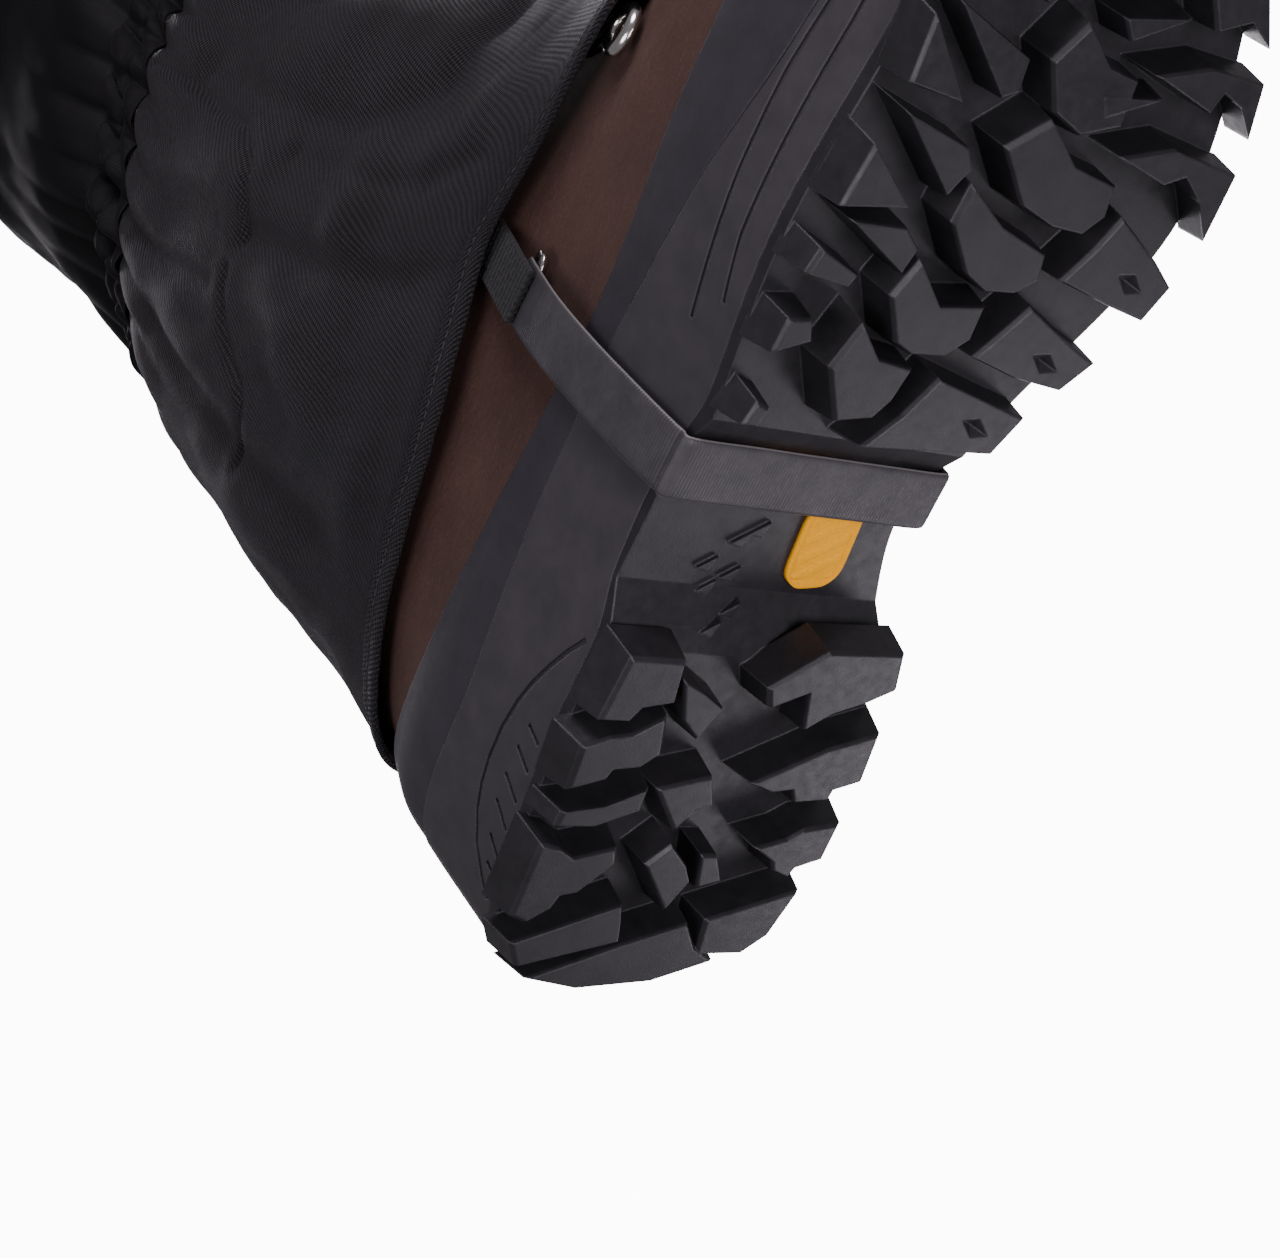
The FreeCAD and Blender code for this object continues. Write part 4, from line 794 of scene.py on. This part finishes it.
def pucker(angle, above, points):
    """Twisted puffs of the ruched ankle elastic."""
    turn = 1.6 * rough(points, 15.0, 7)
    puff = np.abs(np.sin(PUFFS * angle / 2 + above * 0.17 + turn))**0.7
    puff = puff * (1.0 + 0.45 * rough(points, 12.0, 9))
    edge = np.clip(1 - np.abs(above) / (ELASTIC_HALF + 0.5), 0, 1)**0.5
    channel = 1 - 0.55 * np.exp(-(above / 1.3)**2)
    return 5.4 * puff * edge * channel + 1.5 * rough(points, 5.0, 8) * edge


def gaiter_grid(low, high, rows, cols, ruched=False):
    """Grid of the gaiter between two side profiles, with all its folds."""
    angle = even_angles(GAITER, 250.0, cols)
    bottom = height_on(GAITER, angle, low)
    top = height_on(GAITER, angle, high)
    share = np.linspace(0, 1, rows)[:, None]
    z = bottom[None] * (1 - share) + top[None] * share
    angles = np.broadcast_to(angle[None], z.shape)
    x, s = skin(GAITER, angles, z)
    base = at(x, s, z)
    normals = outward(base, True)
    lift = cloth_lift(base, angles, s, z)
    if ruched:
        lift = lift + pucker(angles, z - elastic_middle(s), base)
    return base + normals * lift[..., None]


def make_gaiter_cloth():
    lower = gaiter_grid(lambda s: hem_height(s) + 2.0,
                        lambda s: elastic_middle(s) - ELASTIC_HALF + 0.5, 170, 430)
    cloth = dress(cloth_tube("gaiter_lower_cloth", lower, 1.0), LOWER_CLOTH, "lower_fabric",
                  "gaiter_lower")
    upper = gaiter_grid(lambda s: elastic_middle(s) + ELASTIC_HALF - 0.5,
                        lambda s: np.full(s.shape, CUFF_FOOT + 2.0), 170, 420)
    cloth = dress(cloth_tube("gaiter_upper_cloth", upper, 0.7), UPPER_CLOTH, "upper_fabric",
                  "gaiter_upper")
    band = gaiter_grid(lambda s: elastic_middle(s) - ELASTIC_HALF,
                       lambda s: elastic_middle(s) + ELASTIC_HALF, 40, 900, ruched=True)
    cloth = dress(cloth_tube("ankle_elastic_ruche", band, 0.9), ELASTIC, "elastic",
                  "ankle_elastic")


# section of the folded hem, as (up, out) from its edge
HEM_SECTION = [(8.4, 0.1), (8.2, 0.85), (6.6, 1.1), (5.3, 0.8), (4.9, 0.72), (4.5, 0.8),
               (3.0, 1.15), (1.2, 1.05), (0.3, 0.6), (0.0, 0.0), (0.3, -0.6), (1.3, -1.0),
               (4.5, -1.1), (8.2, -1.0)]


def hem_frame(count):
    """Path of the hem's edge with the directions up the cloth and out of it."""
    angle = even_angles(GAITER, 100.0, count)
    z = height_on(GAITER, angle, hem_height)
    edge = skin_points(GAITER, angle, z)
    higher = skin_points(GAITER, angle, z + 6.0)
    up = unit(higher - edge)
    ahead = np.roll(edge, -1, axis=0) - np.roll(edge, 1, axis=0)
    out = unit(np.cross(up, ahead))
    wave = 0.5 * rough(edge, 16.0, 11) + 0.22 * rough(edge, 6.0, 12)
    wave = wave - hug(skin(GAITER, angle, z)[1])
    return edge + out * wave[:, None], up, out


def make_hem():
    edge, up, out = hem_frame(560)
    hem = ring_sweep("gaiter_hem_fold", edge, up, out, HEM_SECTION)
    dress(hem, LOWER_CLOTH, "lower_fabric", "gaiter_hem")
    path = edge + up * 4.9 + out * 0.75
    stitches("hem_stitches", np.concatenate([path, path[:1]]), np.concatenate([out, out[:1]]),
             pitch=2.9, length=2.2, radius=0.26)


def cuff_ring(angle, low, high, rows):
    """Grid round the top of the gaiter between two heights."""
    z, angles = np.broadcast_arrays(np.linspace(low, high, rows)[:, None], angle[None])
    base = skin_points(GAITER, angles, z)
    return base, outward(base, True), z, angles


def make_cuff():
    """Ribbed elastic band round the top, with the strap that draws it in."""
    angle = even_angles(GAITER, 440.0, 1200)
    base, normals, z, angles = cuff_ring(angle, CUFF_FOOT, GAITER_TOP, 20)
    rounding = (1 - np.abs(np.linspace(-1, 1, 20)[:, None])**6)**0.5
    ribs = 0.28 * np.cos(CUFF_RIBS * angles)
    outer = base + normals * ((0.5 + ribs) * rounding - 0.6)[..., None]
    inner = base - normals * (2.2 * rounding + 0.1)[..., None]
    band = dress(slab("top_cuff_band", outer, inner, True), ELASTIC, "elastic", "top_cuff")
    base, normals, z, angles = cuff_ring(angle, CUFF_FOOT + 3.0, GAITER_TOP - 3.0, 26)
    length = np.broadcast_to(np.arange(len(angle))[None] * 0.33, z.shape)
    outer = base + normals * (1.55 + 0.35 * basket(z, length, 1.5, 1.65))[..., None]
    inner = base + normals * 0.75
    strap = dress(slab("cuff_strap_web", outer, inner, True), WEBBING, "webbing", "cuff_strap")


# ------------------------------------------------------------------ webbing and strap

# pitch of the tabs' weave, and the grid step that shows it
WEAVE = 1.85
WEAVE_STEP = 0.24


def basket(across, ahead, pitch_across, pitch_ahead):
    """Height of a plain weave, from 0 in its pits to 1 on its crowns."""
    fa, fb = across / pitch_across, ahead / pitch_ahead
    even = (np.floor(fa) + np.floor(fb)) % 2 == 0
    a = np.sin(math.pi * (fa % 1))
    b = np.sin(math.pi * (fb % 1))
    warp = a**0.6 * (0.5 + 0.5 * b)
    weft = b**0.6 * (0.5 + 0.5 * a) * 0.85
    return np.where(even, warp, weft)


def band_grid(path, width, across, cols):
    """Grid of a flat band: rows along the path, columns across it."""
    ahead = unit(np.gradient(path, axis=0))
    side = unit(np.broadcast_to(np.array(across, float), ahead.shape))
    reach = np.linspace(-width / 2, width / 2, cols)
    return path[:, None] + side[:, None] * reach[None, :, None], unit(np.cross(side, ahead))


def woven_tab(name, path, width, thickness, across, node):
    """Short piece of webbing with its weave in the mesh."""
    line = smooth_path(path, WEAVE_STEP)
    cols = round(width / WEAVE_STEP) + 1
    grid, normal = band_grid(line, width, across, cols)
    reach, run = np.broadcast_arrays(np.linspace(0, width, cols)[None],
                                     np.arange(len(line))[:, None] * WEAVE_STEP)
    relief = basket(reach, run, WEAVE, WEAVE * 1.05)
    edge = np.clip(np.minimum(reach, width - reach) / 0.5, 0, 1)**0.5
    half = (thickness / 2 - 0.4) * edge + 0.5 * relief * edge + 0.05
    outer = grid + normal[:, None] * half[..., None]
    inner = grid - normal[:, None] * half[..., None]
    dress(slab(name, outer, inner), WEBBING, "webbing", node)


def side_path(path):
    """Row-frame points of a path across the foot at the strap's station."""
    return [at(x, STRAP_STATION, z) for x, z in path]


def make_tabs():
    for node, path in (("webbing_tab_lateral", TAB_LATERAL), ("webbing_tab_medial", TAB_MEDIAL)):
        woven_tab(node + "_weave", side_path(path), STRAP_WIDTH - 1.0, 1.7, (0, 1, 0), node)
    woven_tab("hook_tab_weave", [at(0, s, z) for s, z in HOOK_TAB], 13.0, 1.6, (1, 0, 0),
              "hook_tab")


def make_strap():
    """Flat strap under the arch, with rounded edges and a little wave in its free runs."""
    line = smooth_path(side_path(STRAP_PATH), 0.8)
    cols = 31
    grid, normal = band_grid(line, STRAP_WIDTH, (0, 1, 0), cols)
    share = np.linspace(-1, 1, cols)[None]
    edge = (1 - np.abs(share)**10)**0.5
    wave = 0.25 * rough(grid, 22.0, 21)
    half = STRAP_THICKNESS / 2 * edge + 0.02
    outer = grid + normal[:, None] * (half + wave)[..., None]
    inner = grid - normal[:, None] * (half - wave)[..., None]
    dress(slab("instep_strap_band", outer, inner), STRAP, "strap_tpu", "instep_strap")


# ------------------------------------------------------------------ front flap, tongue, collar

def front_points(form, x, z, inset):
    """Points of the front of a form at the given x and height."""
    angle = np.linspace(math.pi - 1.3, math.pi + 1.3, 801)
    rows = []
    for height, wanted in zip(z[:, 0], x):
        px, ps = skin(form, angle, np.full(angle.shape, height), inset)
        order = np.argsort(px)
        rows.append(at(wanted, np.interp(wanted, px[order], ps[order]), height))
    return np.array(rows)


def front_grid(form, half, low, high, inset, rows, cols):
    """Grid over the shin: columns from the lateral to the medial side."""
    z = np.broadcast_to(np.linspace(low, high, rows)[:, None], (rows, cols))
    x = np.broadcast_to(np.linspace(-half, half, cols)[None], (rows, cols))
    points = front_points(form, x, z, inset)
    normals = -outward(points, False)
    return points, normals, x, z


def rim_fade(rows, cols, power):
    """1 inside a patch, falling to 0 at its rim."""
    a = 1 - np.abs(np.linspace(-1, 1, rows))[:, None]**power
    b = 1 - np.abs(np.linspace(-1, 1, cols))[None]**power
    return np.sqrt(a * b)


def inner_border(grid, inset):
    """Loop through a grid's points, a few rows and columns in from its edge."""
    inside = slice(inset, -inset)
    return np.concatenate([grid[inside, inset], grid[-inset, inside],
                           grid[inside, -inset][::-1], grid[inset, inside][::-1]])


def make_flap():
    rows, cols = 170, 72
    points, normals, x, z = front_grid(GAITER, FLAP_HALF, FLAP_FOOT, FLAP_TOP, 0.0, rows, cols)
    fade = rim_fade(rows, cols, 24)
    wave = 0.5 * rough(points, 20.0, 31, (1, 1, 2.0)) + 0.2 * rough(points, 7.0, 32)
    seam = np.minimum(np.abs(np.abs(x) - (FLAP_HALF - FLAP_SEAM)),
                      np.minimum(np.abs(z - FLAP_FOOT - FLAP_SEAM),
                                 np.abs(z - FLAP_TOP + FLAP_SEAM)))
    welt = -0.35 * np.exp(-(seam / 0.8)**2)
    outer = points + normals * (FLAP_STANDOFF + 0.9 * fade
                                + (wave * 0.6 + welt) * fade)[..., None]
    inner = points + normals * (FLAP_STANDOFF - 0.75 * fade)[..., None]
    flap = dress(slab("storm_flap_cloth", outer, inner, body="storm_flap"), UPPER_CLOTH,
                 "upper_fabric", "storm_flap")
    stitches("flap_stitches", inner_border(outer, 6), inner_border(normals, 6), "storm_flap",
             lift=0.05)


def make_placket():
    """Woven tape under the flap, as large as the flap inside its seam."""
    rows, cols = 330, 46
    points, normals, x, z = front_grid(GAITER, FLAP_HALF - FLAP_SEAM, FLAP_FOOT + FLAP_SEAM,
                                       FLAP_TOP - FLAP_SEAM, 0.0, rows, cols)
    relief = basket(x + 60.0, z, 1.6, 1.6)
    fade = rim_fade(rows, cols, 30)
    outer = points + normals * (0.25 + 0.55 * fade * (0.4 + 0.6 * relief))[..., None]
    inner = points + normals * 0.12
    dress(slab("front_placket_tape", outer, inner), WEBBING, "webbing", "front_placket")


def make_tongue():
    rows, cols = 120, 48
    points, normals, x, z = front_grid(BOOT, TONGUE_HALF - 0.5, TONGUE_FOOT + 1.0, TONGUE_TOP,
                                       PADDING_DEPTH + 1.9, rows, cols)
    fade = rim_fade(rows, cols, 6)
    quilting = np.minimum(np.abs(x), np.abs((z - 110.0) % 24.0 - 12.0))
    puff = 0.75 + 0.25 * np.clip(quilting / 3.0, 0, 1) + 0.05 * rough(points, 9.0, 41)
    outer = points + normals * (1.7 * fade * puff)[..., None]
    inner = points - normals * (1.7 * fade * puff)[..., None]
    tongue = dress(slab("tongue_pad", outer, inner), COLLAR, "collar_leather", "tongue")


def make_collar():
    """Padded roll round the top of the boot, open at the tongue."""
    gap = 0.56
    angle = np.linspace(math.pi + gap, 3 * math.pi - gap, 420)
    middle, higher = (skin_points(BOOT, angle, np.full(angle.shape, COLLAR_FOOT + rise),
                                  COLLAR_DEPTH) for rise in (8.0, 14.0))
    up = unit(higher - middle)
    ahead = np.gradient(middle, axis=0)
    out = unit(np.cross(up, ahead))
    turn = np.linspace(0, 2 * math.pi, 40, endpoint=False)
    tall = (COLLAR_TOP - COLLAR_FOOT) / 2 - 0.4
    bulge = 1 - 0.16 * np.exp(-(np.sin(turn) * tall / 1.4)**2)
    section = np.stack([np.sin(turn) * tall, np.cos(turn) * COLLAR_HALF * bulge], -1)
    collar = ring_sweep("collar_roll", middle, up, out, section, closed=False)
    dress(collar, COLLAR, "collar_leather", "collar")


def make_lining():
    """Mesh sock of the boot, cut out where the tongue lies."""
    cols = 300
    angle = even_angles(BOOT, 120.0, cols)
    low = height_on(BOOT, angle, lambda s: along(MIDSOLE_LINE, s) + 9.0, LINING_DEPTH)
    share = np.linspace(0, 1, 90)[:, None]
    z = low[None] * (1 - share) + (COLLAR_FOOT + 2.0) * share
    angles = np.broadcast_to(angle[None], z.shape)
    x, s = skin(BOOT, angles, z, LINING_DEPTH + 0.3)
    outer = at(x, s, z)
    quilt = 0.3 * np.cos(z * math.pi / 9.0) + 0.25 * rough(outer, 9.0, 51)
    inner = outer - outward(outer, True) * (1.0 + quilt)[..., None]
    faces, places = quads(*z.shape, True)
    face_x, face_s, face_z = (values[places[..., 0], places[..., 1] % cols].mean(1)
                              for values in (x, s, z))
    kept = ~((np.abs(face_x) < TONGUE_HALF + 0.5) & (face_z > TONGUE_FOOT) & (face_s > 100.0))
    lining = new_piece("lining_mesh_sock", inner, faces[kept])
    thickness = lining.modifiers.new("cloth_thickness", "SOLIDIFY")
    thickness.thickness = 0.9 * MM
    thickness.offset = 1.0
    dress(lining, LINING, "lining_mesh", "lining")


def make_footbed():
    """Cupped footbed: a dished top with a rounded rim."""
    angle = even_angles(BOOT, 60.0, 200)
    x, s = skin(BOOT, angle, np.full(angle.shape, 54.0), LINING_END + 0.8)
    middle = 140.0
    shrink = 1 - np.linspace(0, 0.97, 26)[:, None]**1.2
    px = x[None] * shrink
    ps = middle + (s[None] - middle) * shrink
    floor = along(MIDSOLE_LINE, ps) + 3.2
    cup = 3.2 * shrink**6 * np.clip((150 - ps) / 90, 0.15, 1)
    top = at(px, ps, floor + 4.2 + cup)
    bottom = at(px, ps, floor)
    rim = np.clip((1 - shrink) / 0.03, 0, 1)**0.5
    top[..., 2] -= (1 - rim) * 1.5
    piece = slab("footbed_moulded", top[::-1], bottom[::-1], True)
    dress(piece, FELT, "footbed_foam", "footbed")


# ------------------------------------------------------------------ metal and inlay

def lie_of(node):
    """Centre and flattest direction of a CAD node, in millimetres."""
    points = np.array([v.co for v in NODES[node].data.vertices]) / MM
    centre = (points.max(0) + points.min(0)) / 2
    spread = np.cov((points - points.mean(0)).T)
    return centre, np.linalg.eigh(spread)[1][:, 0]


def make_grommet():
    centre, axis = lie_of("side_ring")
    axis = axis if axis[0] < 0 else -axis
    profile = [(3.3, -1.6), (3.25, 0.2), (3.5, 1.0), (4.2, 1.55), (5.0, 1.65), (5.9, 1.3),
               (6.6, 0.5), (6.75, -0.3), (6.5, -0.9), (5.6, -1.3), (4.2, -1.6)]
    section = [(height, radius) for radius, height in profile]
    radial = spokes(axis, 96, (0.2, 0.1, 0.95))
    base = np.broadcast_to(centre, radial.shape)
    up = np.broadcast_to(axis, radial.shape)
    ring = ring_sweep("hem_grommet", base, up, radial, section)
    dress(ring, NICKEL, "nickel", "side_ring")


def make_rivet():
    centre, axis = lie_of("strap_rivet")
    axis = axis if axis[0] > 0 else -axis
    head = [(0.01, 1.6), (1.3, 1.45), (2.4, 1.05), (3.2, 0.4), (3.75, -0.4), (3.8, -0.9),
            (3.3, -1.1), (0.01, -1.1)]
    rivet = lathe("strap_rivet_head", centre, axis, head)
    dress(rivet, NICKEL, "nickel", "strap_rivet")


def make_inlay():
    """Amber pill under the arch with a raised rim and plain slanting ribs."""
    low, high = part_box("arch_inlay")
    centre = np.array((low + high) / 2) / MM
    length, width = 24.0, 17.0
    v = np.linspace(-1, 1, 90)[:, None]
    u = np.linspace(-1, 1, 64)[None]
    across = u * width / 2 * (1 - 0.5 * np.abs(v)**6)
    ahead = v * length / 2 * (1 - 0.08 * np.abs(u)**5)
    turn = math.radians(-8)
    px = centre[0] + across * math.cos(turn) - ahead * math.sin(turn)
    py = centre[1] + across * math.sin(turn) + ahead * math.cos(turn)
    rim = np.maximum(np.abs(v), np.abs(u))
    raised = np.clip((rim - 0.84) / 0.05, 0, 1) * np.clip((1.0 - rim) / 0.04, 0, 1)
    ribs = np.clip(np.sin((ahead + across * 0.45) * 2 * math.pi / 5.2) * 3, 0, 1)
    inside = np.clip((0.78 - rim) / 0.05, 0, 1)
    relief = 0.6 * raised + 0.5 * ribs * inside
    bottom = np.stack([px, py, low.z / MM + 0.6 - relief], -1)
    upper = np.stack([px, py, np.full(px.shape, high.z / MM)], -1)
    dress(slab("arch_inlay_pill", upper, bottom), AMBER, "inlay_amber", "arch_inlay")


# ------------------------------------------------------------------ camera, stage and light

CAMERA_PLACE = Vector((-0.41436, -0.17939, -0.3535))
CAMERA_RIGHT = Vector((0.74812, -0.42305, -0.51122))
CAMERA_DOWN = Vector((0.05839, 0.80939, -0.58436))
CAMERA_AHEAD = Vector((0.66099, 0.40732, 0.63022))
FLOOR_HALF = 9.0
FLOOR_DROP = 0.3
WHITE_BACKDROP = 12.0


def make_camera():
    data = bpy.data.cameras.new("camera")
    data.sensor_width = 36.0
    data.lens = 75.0
    data.clip_start = 0.01
    data.clip_end = 20.0
    camera = bpy.data.objects.new("camera", data)
    camera.matrix_world = Matrix((
        (CAMERA_RIGHT.x, -CAMERA_DOWN.x, -CAMERA_AHEAD.x, CAMERA_PLACE.x),
        (CAMERA_RIGHT.y, -CAMERA_DOWN.y, -CAMERA_AHEAD.y, CAMERA_PLACE.y),
        (CAMERA_RIGHT.z, -CAMERA_DOWN.z, -CAMERA_AHEAD.z, CAMERA_PLACE.z),
        (0, 0, 0, 1)))
    bpy.context.scene.collection.objects.link(camera)
    bpy.context.scene.camera = camera


def make_floor():
    """Pale floor under the sole. It is one-sided and takes no part in the object's light,
    because the view is from below it."""
    mesh = bpy.data.meshes.new("floor")
    corners = [(x * FLOOR_HALF, y * FLOOR_HALF, 0) for x, y in ((-1, -1), (1, -1), (1, 1), (-1, 1))]
    mesh.from_pydata(corners, [], [(0, 1, 2, 3)])
    floor = bpy.data.objects.new("floor", mesh)
    floor.location.z = -FLOOR_DROP * MM
    mesh.materials.append(brushed_floor())
    for ray in ("diffuse", "glossy", "transmission", "shadow", "volume_scatter"):
        setattr(floor, "visible_" + ray, False)
    bpy.context.scene.collection.objects.link(floor)


# name, place, target, size and power of each disk of light
LIGHTS = [
    ("key", (-0.6, -1.05, 0.3), (0, 0, 0.12), 0.6, 10),
    ("under", (-0.15, -0.35, -1.1), (0, 0, 0), 0.9, 13),
    ("low", (-1.1, 0.1, -0.3), (0, 0, 0.06), 0.7, 6),
    ("top", (0.3, 0.4, 1.5), (0, 0, 0.12), 1.0, 14),
    ("rim", (0.9, 0.45, -0.45), (0, 0, 0.05), 0.5, 2),
    ("back", (0.9, 0.9, 0.9), (0, 0, 0.2), 0.7, 5),
]


def add_light(name, place, target, size, power):
    data = bpy.data.lights.new(name, "AREA")
    data.shape = "DISK"
    data.size = size
    data.energy = power
    data.color = (1.0, 0.94, 1.02)
    light = bpy.data.objects.new(name, data)
    light.location = place
    light.rotation_euler = (Vector(target) - Vector(place)).to_track_quat("-Z", "Y").to_euler()
    bpy.context.scene.collection.objects.link(light)


def make_light():
    world = bpy.data.worlds.new("studio")
    bpy.context.scene.world = world
    world.use_nodes = True
    tree = world.node_tree
    background = tree.nodes["Background"]
    background.inputs[0].default_value = (1.0, 0.93, 1.02, 1)
    background.inputs[1].default_value = 0.2
    bright = tree.nodes.new("ShaderNodeBackground")
    bright.inputs[0].default_value = (1, 1, 1, 1)
    bright.inputs[1].default_value = WHITE_BACKDROP
    path = tree.nodes.new("ShaderNodeLightPath")
    join = tree.nodes.new("ShaderNodeMixShader")
    tree.links.new(path.outputs["Is Camera Ray"], join.inputs[0])
    tree.links.new(background.outputs[0], join.inputs[1])
    tree.links.new(bright.outputs[0], join.inputs[2])
    tree.links.new(join.outputs[0], tree.nodes["World Output"].inputs[0])
    for name, place, target, size, power in LIGHTS:
        add_light(name, place, target, size, power)


make_camera()
make_floor()
make_light()
dress_cad()
make_gaiter_cloth()
make_hem()
make_cuff()
make_tabs()
make_strap()
make_flap()
make_placket()
make_tongue()
make_collar()
make_lining()
make_footbed()
make_grommet()
make_rivet()
make_inlay()
